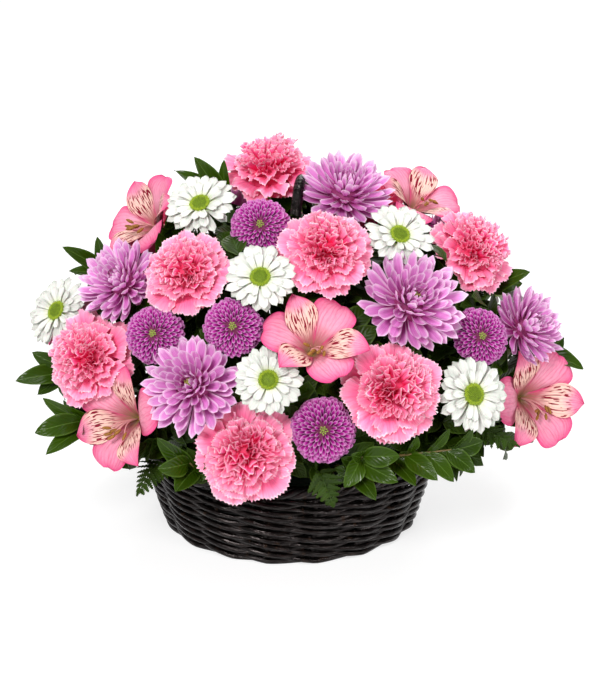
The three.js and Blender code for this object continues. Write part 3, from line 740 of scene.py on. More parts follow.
def lavender_mesh(bloom):
    """Whorls of long grooved petals that open flat outside and stand up round a small eye."""
    bm, draw = bloom.begin(200)
    whorls = [
        # petals, reach, height of the tip, half width, root height, cup
        (15, 1.00, -0.22, 0.110, -0.46, 0.35),
        (16, 1.03, -0.08, 0.106, -0.38, 0.4),
        (15, 0.91, 0.05, 0.100, -0.30, 0.5),
        (13, 0.74, 0.16, 0.094, -0.24, 0.65),
        (12, 0.57, 0.25, 0.087, -0.18, 0.75),
        (11, 0.42, 0.29, 0.077, -0.12, 0.8),
        (10, 0.29, 0.29, 0.062, -0.06, 0.8),
        (9, 0.19, 0.25, 0.046, 0.0, 0.8),
    ]
    for level, (count, reach, height, width, root, cup) in enumerate(whorls):
        inner = level / (len(whorls) - 1)
        for k in range(count):
            start = bloom.petal_turn(level, k, count) + draw.uniform(-0.12, 0.12)
            size = reach * draw.uniform(0.86, 1.0)
            lift = height + draw.uniform(-0.06, 0.06)
            slew = draw.uniform(-0.14, 0.14)
            half = width * draw.uniform(0.9, 1.1)
            hook = draw.uniform(0.0, 0.12)

            def petal(u, t):
                shape = blade_width(t, 0.36, 0.95, 0.72)
                side = u * half * max(shape, 0.04)
                out = 0.04 + (size - 0.04) * t ** (0.95 - 0.2 * inner)
                rise = root + (lift - root) * t ** (1.1 + 0.1 * inner)
                rise += cup * half * u * u * (0.25 + shape) + (0.03 + hook) * t ** 5
                rise += 0.011 * cos(3 * pi * u) * sin(pi * t) ** 0.5
                out -= inner * 0.10 * t ** 5
                return bloom.petal_point(out, side, start + slew * t, rise, 1.04, 0.03)

            lay_sheet(bm, 6, 9, petal, draw.random())
    lay_core(bm, bloom, -0.45, 0.08, 6, lambda t: 0.04 + 0.30 * dome(t), 14, 0.2, 1)
    for k in range(12):
        lay_bead(bm, bloom, bloom.point(0.024 * sqrt(k), k * BEAD_SPIRAL, 0.11), 0.024, 2)
    return bm


def violet_mesh(bloom, count):
    """A ball of small spooned florets in a spiral, close round a green eye that turns to the front."""
    bm, draw = bloom.begin(300)
    eye_way = bloom.facing.lerp(FRONT_WAY, 0.7) if bloom.middle.y < 40 else bloom.facing
    swing = bloom.facing.rotation_difference(eye_way.normalized())

    def on_ball(out, turn, height):
        spot = swing @ (bloom.outward(turn) * out + bloom.facing * height)
        x, y = spot.dot(bloom.right), spot.dot(bloom.top)
        rise = max(-0.42 + 0.84 * spot.dot(bloom.facing), -0.56)
        return bloom.point(min(hypot(x, y), 1.04), atan2(y, x), rise)

    for k in range(count):
        share = ((k + 6) / (count + 6)) ** 0.56
        start = bloom.turn + k * SPIRAL + draw.uniform(-0.03, 0.03)
        tilt = radians(112) * share ** 0.95
        width = 0.043 + 0.034 * share
        jitter = draw.uniform(-0.05, 0.04)
        reach = 0.78 + 0.24 * share + jitter
        tip_lean = 0.16 + 0.10 * share

        def floret(u, t):
            spoon = blade_width(t, 0.4, 0.9, 0.62)
            radial = 0.45 + (reach - 0.45) * t + 0.8 * width * u * u * spoon - 0.03 * t ** 6
            lean = tilt - 0.05 + tip_lean * t * t
            side = u * width * spoon
            out = radial * sin(lean)
            turn = start - atan2(side, max(out, 0.05)) + jitter * t
            return on_ball(hypot(out, side), turn, radial * cos(lean))

        lay_sheet(bm, 4, 6, floret, draw.random())
    lay_core(bm, bloom, -0.58, 0.1, 8, lambda t: 0.52 * dome(t, 0.004), 16, 0.2, 1)
    for k in range(16):
        lay_bead(bm, bloom, on_ball(0.03 * sqrt(k), k * BEAD_SPIRAL, 0.74), 0.026, 2)
    return bm


def daisy_mesh(bloom):
    """Two full whorls of rays and a short ragged one about the eye."""
    bm, draw = bloom.begin(400)
    whorls = [
        # rays, reach, height of the tip, half width, root height
        (16, 1.0, -0.02, 0.128, -0.08),
        (16, 0.97, 0.09, 0.124, -0.02),
        (13, 0.70, 0.18, 0.105, 0.03),
    ]
    for level, (count, reach, height, width, root) in enumerate(whorls):
        for k in range(count):
            start = bloom.petal_turn(level, k, count) + draw.uniform(-0.09, 0.09)
            size = reach * draw.uniform(0.92, 1.0)
            lift = height + draw.uniform(-0.06, 0.05)
            droop = draw.uniform(-0.02, 0.08)
            half = width * draw.uniform(0.9, 1.08)

            def ray(u, t):
                side = u * half * max(blade_width(t, 0.5, 0.75, 0.76), 0.05)
                out = 0.23 + (size - 0.23) * t
                bow = sin(pi * t)
                rise = root + (lift - root) * t + 0.05 * bow
                rise += 0.04 * u * u + 0.012 * cos(3 * pi * u) * bow - droop * t * t
                return bloom.petal_point(out, side, start, rise, 1.0)

            lay_sheet(bm, 8, 8, ray, draw.random())
    return bm


def daisy_eye_mesh(bloom):
    """A low dome of close-set beads, green in the middle and yellower round its edge, over its cup."""
    bm = new_sheet_mesh()

    def cup(t):
        return 0.05 + 0.20 * sqrt(max(1 - (1.7 * t - 0.75) ** 2, 0.0))

    lay_core(bm, bloom, -0.2, 0.1, 8, cup, 16, 0.5, 0)
    beads = 170
    for k in range(beads):
        share = sqrt((k + 0.5) / beads)
        height = 0.02 + 0.10 * sqrt(max(1 - 0.8 * share * share, 0)) + (0.012 if share > 0.8 else 0)
        spread = bloom.outward(k * BEAD_SPIRAL) * (0.27 * share * bloom.radius)
        edge = share > 0.7
        lay_bead(bm, bloom, (bloom.on_axis(height) + spread) * MM, 0.024 if edge else 0.018, 1 if edge else 0)
    return bm


def alstroemeria_mesh(bloom):
    """Three broad outer tepals with notched tips, three narrower streaked ones, and stamens."""
    bm, draw = bloom.begin(500)
    for k in range(6):
        outer = k % 2 == 0
        start = bloom.turn + pi / 6 + k * pi / 3 + draw.uniform(-0.1, 0.1)
        size = (1.03 if outer else 1.055) * draw.uniform(0.95, 1.0)
        width = draw.uniform(0.43, 0.47) if outer else draw.uniform(0.30, 0.35)
        lift = -0.06 if outer else 0.04
        full = 0.66 if outer else 0.5
        back = draw.uniform(0.04, 0.18)
        lean = draw.uniform(-0.08, 0.08)
        curl = draw.uniform(0.3, 1.1)

        def tepal(u, t):
            t = 1 - (1 - t) ** 1.3
            shape = 0.30 + 0.70 * sin(pi / 2 * min(t / full, 1)) ** 1.7
            past = max(t - full, 0) / (1 - full)
            shape *= sqrt(max(1 - past ** 2.2, 0)) if outer else max(1 - past ** 1.8, 0)
            side = u * width * shape
            out = 0.04 + (size - 0.04) * t
            if outer:
                out -= 0.05 * exp(-(side / 0.07) ** 2) * (max(t - 0.75, 0) / 0.25) ** 1.5
            height = -0.76 * (1 - min(out, 1.0)) ** 2.0 + lift * out
            height += 0.12 * shape * u * u * (0.4 * curl if outer else curl) * (1.3 - 1.8 * t) - back * t ** 4
            height += 0.035 * sin(7 * t + 4 * u) * t * abs(u) - 0.02 * exp(-(u / 0.12) ** 2) * t
            return bloom.petal_point(out, side, start + lean * t, height, 1.07)

        lay_sheet(bm, 16, 18, tepal, draw.random(), 0 if outer else 1)
    lay_core(bm, bloom, -0.95, -0.7, 4, lambda t: 0.07 + 0.07 * t, 10, 0.3, 0)
    for k in range(6):
        angle = -pi / 2 - 0.6 + 0.24 * k + draw.uniform(-0.15, 0.15)
        tip = bloom.point(0.26 + 0.1 * (k % 2), angle, -0.05 - 0.06 * (k % 3))
        root = bloom.on_axis(-0.7) * MM
        pull = bloom.point(0.06, angle, -0.3)
        path = interpolate_bezier(root, root.lerp(pull, 0.6), pull, tip, 8)
        lay_tube(bm, path, lambda t, u: 0.45 * MM, 5, 0.5, 2)
        lay_anther(bm, bloom, path[-1], (path[-1] - path[-2]).normalized())
    return bm


def lay_anther(bm, bloom, tip, along):
    """A small golden-brown grain across the filament's end."""
    reach = along.cross(bloom.facing).normalized() * 0.0016 + along * 0.0024
    lay_tube(bm, [tip - reach, tip, tip + reach], lambda t, u: 1.1 * MM * dome(t, 0.05), 6, 0.5, 3, 6)


# ---- Foliage and stems ----

def lay_leaf(bm, base, tip, width, tone, outward=None, droop=0.0, squares=(8, 12)):
    """One leaf from base to tip, folded at the midrib, with a waving edge. Lengths in mm."""
    tip = Vector(tip)
    along = (tip - base).normalized()
    length = (tip - base).length
    outward = square_to(base.lerp(tip, 0.5) - HEART if outward is None else outward, along)
    across = along.cross(outward)

    def place(u, t):
        half = width / 2 * (sin(pi * t ** 0.85) ** 0.7 if 0 < t < 1 else 0.0)
        point = base + along * (length * t) + outward * (0.35 * width * 2 * t * (1 - t))
        point += across * (u * half) + outward * (abs(u) * 0.22 * half)
        point += outward * (0.04 * width * sin(9 * t + 2 * u) * abs(u)) - Vector((0, 0, droop * t * t))
        return point * MM

    weld(bm, lay_sheet(bm, *squares, place, tone))


def lay_stalk(bm, stops, thick, thin, slot):
    """A tapering twig or stalk through its stops; gives back its path."""
    path = smooth_path(stops)
    lay_tube(bm, path, lambda t, u: (thick + (thin - thick) * t) * MM, 7, 0.4, slot)
    return path


def sprig_mesh(name):
    """A woody twig with its leaves, and smaller leaves between them."""
    stops, leaves = SPRIGS[name]
    bm = new_sheet_mesh()
    draw = random.Random(name)
    path = lay_stalk(bm, stops, 1.2, 0.5, 1)
    for share, tip, width in leaves:
        base = along_path(path, share) / MM
        outward = base.lerp(Vector(tip), 0.5) - Vector((0, 70 if tip[1] < 0 else -70, 40))
        lay_leaf(bm, base, tip, width * 0.95, draw.random(), outward, draw.uniform(0, 1.5))
    for k in range(7):
        share = 0.60 + 0.38 * k / 6
        base = along_path(path, share) / MM
        ahead = (along_path(path, share + 0.05) - along_path(path, share - 0.05)).normalized()
        outward = (base - HEART).normalized()
        across = ahead.cross(outward).normalized() * (1 if k % 2 else -1)
        way = ahead * 0.7 + across * 0.8 + outward * draw.uniform(-0.1, 0.3)
        tip = base + way.normalized() * draw.uniform(15, 22)
        lay_leaf(bm, base, tip, draw.uniform(7.5, 9.5), draw.random() * 0.7)
    return bm


def frond_mesh(name):
    """A fern frond: toothed leaflets in pairs, shorter towards the tip."""
    stops, width, pairs = FRONDS[name]
    bm = new_sheet_mesh()
    draw = random.Random(name)
    path = lay_stalk(bm, stops, 0.9, 0.35, 0)
    for k in range(pairs):
        share = 0.43 + 0.55 * k / pairs
        base = along_path(path, share) / MM
        ahead = (along_path(path, share + 0.03) / MM - base).normalized()
        outward = square_to(base - HEART, ahead)
        reach = 0.58 * width * sin(pi * min(0.36 + 0.6 * k / pairs, 1))
        for hand in (-1, 1):
            tip = base + ahead.cross(outward) * hand * reach + ahead * (0.5 * reach) - outward * 0.8
            lay_leaflet(bm, base, tip, 5.6, outward, draw.random())
    end = path[-1] / MM
    lay_leaflet(bm, along_path(path, 0.94) / MM, end, 5.5, end - HEART, 0.5)
    return bm


def lay_leaflet(bm, base, tip, width, outward, tone):
    """One toothed fern leaflet."""
    along = (tip - base).normalized()
    length = (tip - base).length
    outward = square_to(outward, along)
    across = along.cross(outward)
    squares = 12

    def place(u, t):
        tooth = 0.52 if round(t * squares) % 2 else 1.0
        half = width / 2 * (1 - t) ** 0.6 * tooth if t < 1 else 0.0
        point = base + along * (length * t + abs(u) * half * 0.5) + across * (u * half)
        return (point + outward * (0.5 * abs(u) - 1.2 * t * t)) * MM

    weld(bm, lay_sheet(bm, 4, squares, place, tone))


def root_toward(end):
    """Where a stem that ends here stands in the foam."""
    return Vector((0, 0, FOAM_TOP - 3)) + (end - Vector((0, 0, 40))).normalized() * 12.5


def stems_mesh():
    """Every flower's stem, from the gathered bunch to its cup under the bloom."""
    bm = new_sheet_mesh()
    thick, neck_length = 1.6, 7
    for bloom in GARDEN:
        kind = KINDS[bloom.kind]
        end = bloom.on_axis(kind.foot - 0.35 / bloom.radius)
        root = root_toward(end)
        neck = end - bloom.facing * neck_length
        pull = end - bloom.facing * (0.38 * (end - root).length)
        path = interpolate_bezier(root, root.lerp(pull, 0.67), neck.lerp(pull, 0.67), neck, 10)
        path += [neck.lerp(end, 0.33), neck.lerp(end, 0.67), end]

        def radius(t, u):
            near = max(t * 12 - 9, 0) / 3
            return (thick + (kind.cup - thick) * near ** 0.7) * MM

        lay_tube(bm, [point * MM for point in path], radius, 7, (bloom.index * 0.37) % 1)
    for k in range(14):
        spot = 2.6 * sqrt(k) + 1.5
        x, y = spot * cos(k * BEAD_SPIRAL), spot * sin(k * BEAD_SPIRAL)
        foot = Vector((x, y, 10.5)) * MM
        head = Vector((0.9 * x, 0.9 * y, 56)) * MM
        lay_tube(bm, straight(foot, head, 2), lambda t, u: 2.6 * MM, 7, (k * 0.29) % 1)
    return bm


def shoots_mesh():
    """The leafy shoots that rise among the flower stems, their leaves turned to the front."""
    bm = new_sheet_mesh()
    draw = random.Random(61)
    for place, leaves in SHOOTS:
        end = Vector(place)
        root = root_toward(end)
        lay_tube(bm, straight(root * MM, end * MM, 2), lambda t, u: (1.5 - 0.5 * t) * MM, 7, 0.4, 1)
        for tip, width in leaves:
            base = root.lerp(end, 0.975)
            outward = base.lerp(Vector(tip), 0.5) - Vector((0, 120, 0))
            lay_leaf(bm, base, tip, width * 1.05, draw.random(), outward)
    return bm


def filler_mesh(seed, count, low, high):
    """Dark leaves that fill the dome behind the blooms, between two shares of its size; their darkness is
    painted shade.
    """
    bm = new_sheet_mesh()
    draw = random.Random(seed)
    made = 0
    tries = 0
    while made < count and tries < count * 60:
        tries += 1
        angle = draw.uniform(0, tau)
        lift = draw.uniform(-0.14, 1.0)
        ring = sqrt(max(1 - lift * lift, 0))
        depth = draw.uniform(low, high)
        wide, deep, tall = (half * depth for half in DOME)
        spot = Vector((wide * ring * cos(angle), deep * ring * sin(angle), DOME_BASE + tall * lift))
        made += tuck_leaf(bm, draw, spot)
    return bm


def tuck_leaf(bm, draw, spot):
    """Lays one leaf, darkened as painted shade, at a spot if it stays clear of the blooms' faces; says
    whether it did.
    """
    if spot.z < LEAF_FLOOR:
        return False
    outward = (spot - Vector((0, 0, LEAF_FLOOR))).normalized()
    drift = Vector((draw.uniform(-1, 1), draw.uniform(-1, 1), draw.uniform(-0.6, 1)))
    tip = spot + (outward * 0.4 + drift * 0.8).normalized() * draw.uniform(18, 30)
    over = tip - Vector((0, 0, DOME_BASE))
    if Vector([part / half for part, half in zip(over, TIP_DOME)]).length > 0.97 or tip.z < TIP_FLOOR:
        return False
    if any(bloom.shows(point) for bloom in GARDEN for point in straight(spot, tip, 4)):
        return False
    lay_leaf(bm, spot, tip, draw.uniform(11, 16), draw.random() * 0.6, outward, squares=(4, 5))
    return True


def tucked_mesh(seed, each):
    """Extra dark leaves at the places where the dome would otherwise be seen through; their darkness is
    painted shade.
    """
    bm = new_sheet_mesh()
    draw = random.Random(seed)
    for place in TUCKS:
        made = 0
        for _ in range(each * 12):
            spread = Vector((draw.gauss(0, 9), draw.gauss(0, 7), draw.gauss(0, 9)))
            made += tuck_leaf(bm, draw, Vector(place) + spread)
            if made == each:
                break
    return bm


# ---- Basket ----

def wall_half_width(height):
    """The wall's half width at a height."""
    for (z0, w0), (z1, w1) in zip(WALL_FLARE, WALL_FLARE[1:]):
        if height <= z1:
            return w0 + (w1 - w0) * (height - z0) / (z1 - z0)
    return WALL_FLARE[-1][1]


def on_oval(half, angle, height):
    """A point of the basket's oval."""
    return Vector((half * cos(angle), DEPTH_RATIO * half * sin(angle), height))


def ring_tube(bm, samples, middle, thick, tone):
    """A closed ring: middle(angle) gives its centre line in mm, thick its radius in mm."""
    def place(u, t):
        angle = tau * t
        ahead = (middle(angle + 0.01) - middle(angle - 0.01)).normalized()
        outward = square_to(Vector((cos(angle), sin(angle), 0)), ahead)
        return (middle(angle) + turned(outward, ahead.cross(outward), pi * u) * thick) * MM

    weld(bm, lay_sheet(bm, 8, samples, place, tone), 1e-6)


def woven_wall_mesh(rod, rows, stakes):
    """Paired rods that cross over between stakes, and the stakes they lock."""
    bm = new_sheet_mesh()
    thick = rod / MM / 2
    inset = 3.1  # from the wall's outline in to the line of the stakes
    bulge = 1.95  # how far a rod passes outside or inside that line
    climb = 1.75  # how far a rod rises and falls where it crosses its pair
    crest = 51.0  # rods stay under this, inside the border
    stake_inset, stake_radius = 3.5, 1.7
    pitch = WALL_TOP / rows
    draw = random.Random(7)
    for row in range(rows):
        height = pitch * (row + 0.5)
        for strand in (0, 1):
            phase = pi * strand + pi * (row % 2)
            tone = draw.random()
            drift = [draw.uniform(-1.25, 1.25) for _ in range(stakes)]

            def middle(angle):
                swing = stakes / 2 * angle + phase
                wander = round_ring(drift, angle)
                z = height - climb * sin(swing) + 0.8 * wander
                half = wall_half_width(z) - inset + (bulge + 0.25 * wander) * cos(swing)
                return on_oval(half, angle, min(max(z, thick + 0.1), crest - thick))

            ring_tube(bm, stakes * 10, middle, thick * draw.uniform(0.84, 1.06), tone)
    for k in range(stakes):
        heights = [1.5 + 48.5 * step / 7 for step in range(8)]
        path = [on_oval(wall_half_width(z) - stake_inset, tau * k / stakes, z) * MM for z in heights]
        lay_tube(bm, path, lambda t, u: stake_radius * MM, 8, draw.random())
    return bm


def border_mesh():
    """The plaited border: four strands wound round one another along the rim."""
    bm = new_sheet_mesh()
    strands = 4
    twists = 16
    for strand in range(strands):
        def middle(angle):
            swing = twists * angle + tau * strand / strands
            half = RIM_HALF_WIDTH + 2.5 * cos(swing)
            return on_oval(half, angle, RIM_HEIGHT + 2.3 * sin(swing))

        ring_tube(bm, 200, middle, 2.1, 0.2 + 0.2 * strand)
    return bm


def handle_path(steps):
    """The hoop's centre line: a bow over the blooms that runs on down inside the wall."""
    rise = HANDLE_TOP - FOAM_TOP
    reach = sqrt((HANDLE_TOP - HANDLE_FOOT) / rise) * HANDLE_SPREAD
    path = []
    for step in range(steps + 1):
        y = -reach * cos(pi * step / steps)
        height = HANDLE_TOP - rise * (y / HANDLE_SPREAD) ** 2
        lean = copysign(min(abs(y), HANDLE_SPREAD), y)
        path.append(Vector((7 + 0.14 * lean, lean, height)) * MM)
    return path


def handle_mesh():
    """The hoop: a core rod wound with flat cane, each turn lapping the last."""
    bm = new_sheet_mesh()
    turns = 104
    core, cane = 3.1, 0.42  # the rod's radius and how far the cane stands off it

    def thickness(t, u):
        lap = (t * turns + u / 2) % 1.0
        return (core + cane * sin(pi * lap) ** 0.4) * MM

    lay_tube(bm, handle_path(60), thickness, 10, steps=turns * 4)
    return bm


# ---- Operators ----

class FLOWERS_OT_carnations(bpy.types.Operator):
    """Makes the carnations"""

    bl_idname = "flowers.carnations"
    bl_label = "Carnations"

    def execute(self, context):
        tint = context.scene.flower_petals
        pink, edge = tint.carnation_pink, tint.carnation_edge
        # painted_glow is a painted glow: a deep pink emission that keeps the shaded folds bright and
        # saturated.
        painted_glow = (0.9, 0.01, 0.10)
        # Both ramps run deep and saturated at the root, and the core is deep pink, partly as painted shade in
        # the folds.
        petal = petal_finish("carnation_petal", [
            (0.0, (0.97, 0.03, 0.16)), (0.35, darker(pink, 0.9)), (0.72, blended(pink, edge, 0.3)),
            (0.95, blended(pink, edge, 0.8)), (1.0, blended(edge, (1, 1, 1), 0.4))],
            veins=18, vein_depth=0.3, through=painted_glow)
        heart = petal_finish("carnation_heart", [
            (0.0, (0.80, 0.006, 0.06)), (0.5, (0.88, 0.03, 0.15)), (0.82, darker(pink, 0.92)),
            (0.93, blended(pink, edge, 0.5)), (0.985, blended(edge, (1, 1, 1), 0.5))],
            veins=12, through=painted_glow)
        core = plain_finish("carnation_core", (0.55, 0.02, 0.10), (0.75, 0.05, 0.16), 400, 0.7)
        for bloom in blooms_of("carnation"):
            piece = finish_piece(carnation_mesh(bloom), bloom.name + "_petals", [petal, heart, core])
            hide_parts(bloom.name)
        return {"FINISHED"}


class FLOWERS_OT_lavender_mums(bpy.types.Operator):
    """Makes the large lavender chrysanthemums"""

    bl_idname = "flowers.lavender_mums"
    bl_label = "Lavender mums"

    def execute(self, context):
        lilac = context.scene.flower_petals.lavender
        # The dark magenta root of the ramp is partly painted shade between petals; the pale tips and rim are
        # partly painted sheen; through is a painted glow.
        petal = petal_finish("lavender_petal", [
            (0.0, (0.36, 0.004, 0.13)), (0.3, (0.47, 0.06, 0.30)), (0.6, lilac),
            (0.85, blended(lilac, (1, 0.9, 1), 0.1)), (1.0, blended(lilac, (1, 0.95, 1), 0.6))],
            veins=12, vein_depth=0.34, rim=(blended(lilac, (1, 0.96, 1), 0.74), 0.52),
            through=(0.5, 0.0, 0.2))
        # The dark core under the petals is painted shade seen between them.
        core = plain_finish("lavender_core", (0.20, 0.01, 0.08), (0.30, 0.04, 0.16), 300, 0.7)
        eye = plain_finish("lavender_eye", (0.30, 0.30, 0.05), (0.45, 0.42, 0.12), 900, 0.6)
        for bloom in blooms_of("lavender_mum"):
            piece = finish_piece(lavender_mesh(bloom), bloom.name + "_petals", [petal, core, eye])
            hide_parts(bloom.name)
        return {"FINISHED"}


class FLOWERS_OT_violet_mums(bpy.types.Operator):
    """Makes the small violet chrysanthemums"""

    bl_idname = "flowers.violet_mums"
    bl_label = "Violet mums"

    def execute(self, context):
        tint = context.scene.flower_petals
        violet = tint.violet
        # The near-black root and dark lower part of the ramp are painted shade between the florets; the paler
        # tips and rim are partly painted highlight.
        petal = petal_finish("violet_petal", [
            (0.0, (0.09, 0.001, 0.03)), (0.5, darker(violet, 0.42)), (0.78, darker(violet, 0.95)),
            (1.0, blended(violet, (1, 0.7, 1), 0.38))],
            veins=5, vein_depth=0.1, rim=(blended(violet, (1, 0.7, 1), 0.40), 0.6), shine=0.02)
        # The dark core under the florets is painted shade seen between them.
        core = plain_finish("violet_core", (0.10, 0.004, 0.04), (0.16, 0.01, 0.07), 300, 0.8)
        eye = plain_finish("mum_eye", (0.16, 0.26, 0.02), (0.3, 0.36, 0.05), 900, 0.6)
        for bloom in blooms_of("violet_mum"):
            mesh = violet_mesh(bloom, tint.violet_florets)
            piece = finish_piece(mesh, bloom.name + "_petals", [petal, core, eye])
            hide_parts(bloom.name)
        return {"FINISHED"}


class FLOWERS_OT_daisies(bpy.types.Operator):
    """Makes the daisies and their eyes"""

    bl_idname = "flowers.daisies"
    bl_label = "Daisies"

    def execute(self, context):
        tint = context.scene.flower_petals
        white, lime = tint.daisy_white, tint.daisy_eye
        ray = petal_finish("daisy_ray", [
            (0.0, (0.50, 0.58, 0.20)), (0.16, (0.72, 0.74, 0.56)), (0.4, white), (1.0, white)],
            veins=6, vein_depth=0.1, bump=0.8)
        eye = plain_finish("daisy_eye", darker(lime, 0.55), darker(lime, 0.9), 700, 0.6, 0.3)
        ring = plain_finish("daisy_eye_ring", darker(lime, 0.75), (0.33, 0.42, 0.01), 900, 0.6, 0.3)
        for bloom in blooms_of("daisy"):
            piece = finish_piece(daisy_mesh(bloom), bloom.name + "_rays", [ray])
            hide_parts(bloom.name)
            centre = finish_piece(daisy_eye_mesh(bloom), bloom.name + "_eye", [eye, ring])
            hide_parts("flower_stems")
        return {"FINISHED"}


class FLOWERS_OT_alstroemerias(bpy.types.Operator):
    """Makes the alstroemerias"""

    bl_idname = "flowers.alstroemerias"
    bl_label = "Alstroemerias"

    def execute(self, context):
        pink = context.scene.flower_petals.alstroemeria_pink
        finishes = [
            alstroemeria_finish("alstroemeria_tepal", pink, False),
            alstroemeria_finish("alstroemeria_streaked", pink, True),
            plain_finish("filament", (0.55, 0.22, 0.24), (0.7, 0.35, 0.33), 300, 0.5),
            plain_finish("anther", (0.20, 0.075, 0.008), (0.34, 0.15, 0.016), 900, 0.7),
        ]
        for bloom in blooms_of("alstroemeria"):
            piece = finish_piece(alstroemeria_mesh(bloom), bloom.name + "_tepals", finishes)
            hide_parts(bloom.name)
        return {"FINISHED"}


class FLOWERS_OT_stems(bpy.types.Operator):
    """Makes the flower stems and the leafy shoots among them"""

    bl_idname = "flowers.stems"
    bl_label = "Stems and shoots"

    def execute(self, context):
        tint = context.scene.flower_foliage
        stem = plain_finish("stem", darker(tint.stem_green, 0.7), tint.stem_green, 120, 0.45)
        leaf = leaf_finish("leaf", tint.leaf_green, (0.10, 0.18, 0.03), 0.22)
        piece = finish_piece(stems_mesh(), "stems", [stem])
        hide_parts("flower_stems")
        shoots = finish_piece(shoots_mesh(), "leafy_shoots", [leaf, stem])
        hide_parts("flower_stems")
        return {"FINISHED"}


class FLOWERS_OT_foliage(bpy.types.Operator):
    """Makes the sprigs, fern fronds and the leaves that fill the dome"""

    bl_idname = "flowers.foliage"
    bl_label = "Foliage"

    def execute(self, context):
        tint = context.scene.flower_foliage
        leaf = bpy.data.materials["leaf"]
        twig = plain_finish("twig", (0.10, 0.07, 0.02), (0.20, 0.14, 0.04), 200, 0.6)
        fern = leaf_finish("fern", tint.fern_green, (0.07, 0.13, 0.04), 0.5)
        for name in SPRIGS:
            piece = finish_piece(sprig_mesh(name), name + "_leaves", [leaf, twig])
            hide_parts(name)
        for name in FRONDS:
            piece = finish_piece(frond_mesh(name), name + "_leaflets", [fern, twig])
            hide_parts(name)
        # Painted shade: the filler leaves take the leaf green at 0.55, darker than the other leaves, for the
        # shade inside the dome.
        dark = leaf_finish("filler_leaf", darker(tint.leaf_green, 0.55), (0.05, 0.10, 0.02), 0.4)
        half = tint.filler_leaves // 2
        for name, mesh in (
            ("filler_leaves_inner", filler_mesh(5, half, 0.45, 0.68)),
            ("filler_leaves_outer", filler_mesh(6, half, 0.66, 0.86)),
            ("filler_leaves_tucked", tucked_mesh(7, 14)),
        ):
            piece = finish_piece(mesh, name, [dark])
        return {"FINISHED"}


class FLOWERS_OT_basket(bpy.types.Operator):
    """Weaves the basket wall, its border and the hoop handle"""

    bl_idname = "flowers.basket"
    bl_label = "Basket"

    def execute(self, context):
        craft = context.scene.flower_basket
        willow = willow_finish(craft.willow)
        for name, mesh, node, slot in (
            ("basket_weave", woven_wall_mesh(craft.rod, craft.rows, craft.stakes), "basket_wall", "willow"),
            ("basket_border", border_mesh(), "basket_rim", "willow"),
            ("basket_hoop", handle_mesh(), "basket_handle", "cane"),
        ):
            piece = finish_piece(mesh, name, [willow])
            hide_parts(node)
        return {"FINISHED"}


class FLOWERS_OT_inside(bpy.types.Operator):
    """Finishes the basket's base, the foam and the liner, which keep their solids"""

    bl_idname = "flowers.inside"
    bl_label = "Base, foam and liner"

    def execute(self, context):
        for node, *finish in (
            ("basket_base", "base_willow", (0.010, 0.008, 0.007), (0.03, 0.022, 0.016), 240, 0.55),
            ("floral_foam", "wet_foam", (0.010, 0.030, 0.014), (0.02, 0.05, 0.022), 900, 0.95, 0.6),
            ("liner", "liner_plastic", (0.010, 0.012, 0.008), (0.014, 0.016, 0.011), 90, 0.3),
        ):
            material = plain_finish(*finish)
            for slot in bpy.data.objects[node].material_slots:
                slot.material = material
        return {"FINISHED"}


def aim(thing, place, target):
    """Sets a light or a camera at a place, looking at a target."""
    thing.location = place
    thing.rotation_euler = (target - Vector(place)).to_track_quat("-Z", "Y").to_euler()
    bpy.context.scene.collection.objects.link(thing)


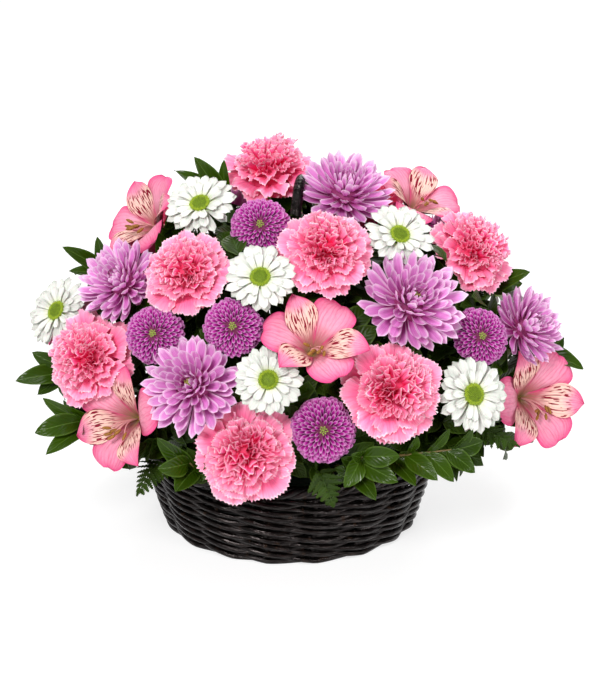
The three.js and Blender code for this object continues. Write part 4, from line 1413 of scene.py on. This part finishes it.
class FLOWERS_OT_stage(bpy.types.Operator):
    """Sets the white floor, the studio lights and the camera"""

    bl_idname = "flowers.stage"
    bl_label = "Stage"

    def execute(self, context):
        scene = context.scene
        white = Finish("white_floor", 0.9, 0.1)
        white.shade({"Base Color": (0.38, 0.38, 0.38), "Emission Color": (1, 1, 1)})
        place = white.node("ShaderNodeTexCoord", {}, "Object")
        away = white.node("ShaderNodeVectorMath", {0: place}, "Value", operation="LENGTH")
        spread = {"Value": away, "From Min": 0.8, "From Max": 3.5, "To Min": 0.70, "To Max": 0.95}
        white.shade({"Emission Strength": white.node("ShaderNodeMapRange", spread)})
        bm = bmesh.new()
        bmesh.ops.create_grid(bm, x_segments=1, y_segments=1, size=30.0)
        floor = new_object(bm, "floor", [white.material])

        world = bpy.data.worlds.new("studio")
        world.use_nodes = True
        world.node_tree.nodes["Background"].inputs["Color"].default_value = (1, 1, 1, 1)
        world.node_tree.nodes["Background"].inputs["Strength"].default_value = 0.36
        scene.world = world
        for name, place, size, power in (
            ("key", (-0.45, -1.4, 1.15), 0.45, 24),
            ("fill", (1.3, -1.2, 0.8), 0.5, 10),
            ("top", (0.0, 0.1, 1.7), 0.8, 14),
            ("rim", (0.3, 1.5, 0.9), 0.8, 12),
        ):
            lamp = bpy.data.lights.new(name, "AREA")
            lamp.size = size
            lamp.energy = power
            aim(bpy.data.objects.new(name, lamp), place, Vector((0, 0, 0.12)))

        lens = bpy.data.cameras.new("camera")
        lens.lens = 95.0
        lens.sensor_width = 36
        lens.clip_start = 0.05
        camera = bpy.data.objects.new("camera", lens)
        tilt, distance = radians(21), 1.2
        target = Vector((0.0065, 0, 0.115))
        aim(camera, target + Vector((0, -cos(tilt), sin(tilt))) * distance, target)
        scene.camera = camera
        scene.view_settings.view_transform = "Standard"
        scene.view_settings.look = "None"
        scene.view_settings.exposure = 0.0
        return {"FINISHED"}


class FLOWERS_PT_panel(bpy.types.Panel):
    """Lists the arrangement's settings and steps"""

    bl_idname = "FLOWERS_PT_panel"
    bl_label = "Flower basket"
    bl_space_type = "VIEW_3D"
    bl_region_type = "UI"
    bl_category = "Flowers"

    def draw(self, context):
        layout = self.layout
        for settings in ("flower_petals", "flower_foliage", "flower_basket"):
            group = getattr(context.scene, settings)
            for name in group.__annotations__:
                layout.prop(group, name)
        for step in STEPS:
            layout.operator(step.bl_idname)


STEPS = (
    FLOWERS_OT_basket, FLOWERS_OT_inside, FLOWERS_OT_stems, FLOWERS_OT_foliage,
    FLOWERS_OT_carnations, FLOWERS_OT_lavender_mums, FLOWERS_OT_violet_mums,
    FLOWERS_OT_daisies, FLOWERS_OT_alstroemerias, FLOWERS_OT_stage,
)
CLASSES = (PetalSettings, FoliageSettings, BasketSettings, *STEPS, FLOWERS_PT_panel)


def register():
    for each in CLASSES:
        bpy.utils.register_class(each)
    bpy.types.Scene.flower_petals = PointerProperty(type=PetalSettings)
    bpy.types.Scene.flower_foliage = PointerProperty(type=FoliageSettings)
    bpy.types.Scene.flower_basket = PointerProperty(type=BasketSettings)


def unregister():
    del bpy.types.Scene.flower_basket
    del bpy.types.Scene.flower_foliage
    del bpy.types.Scene.flower_petals
    for each in reversed(CLASSES):
        bpy.utils.unregister_class(each)


def main():
    register()
    for step in STEPS:
        group, name = step.bl_idname.split(".")
        getattr(getattr(bpy.ops, group), name)()


if __name__ == "__main__":
    main()
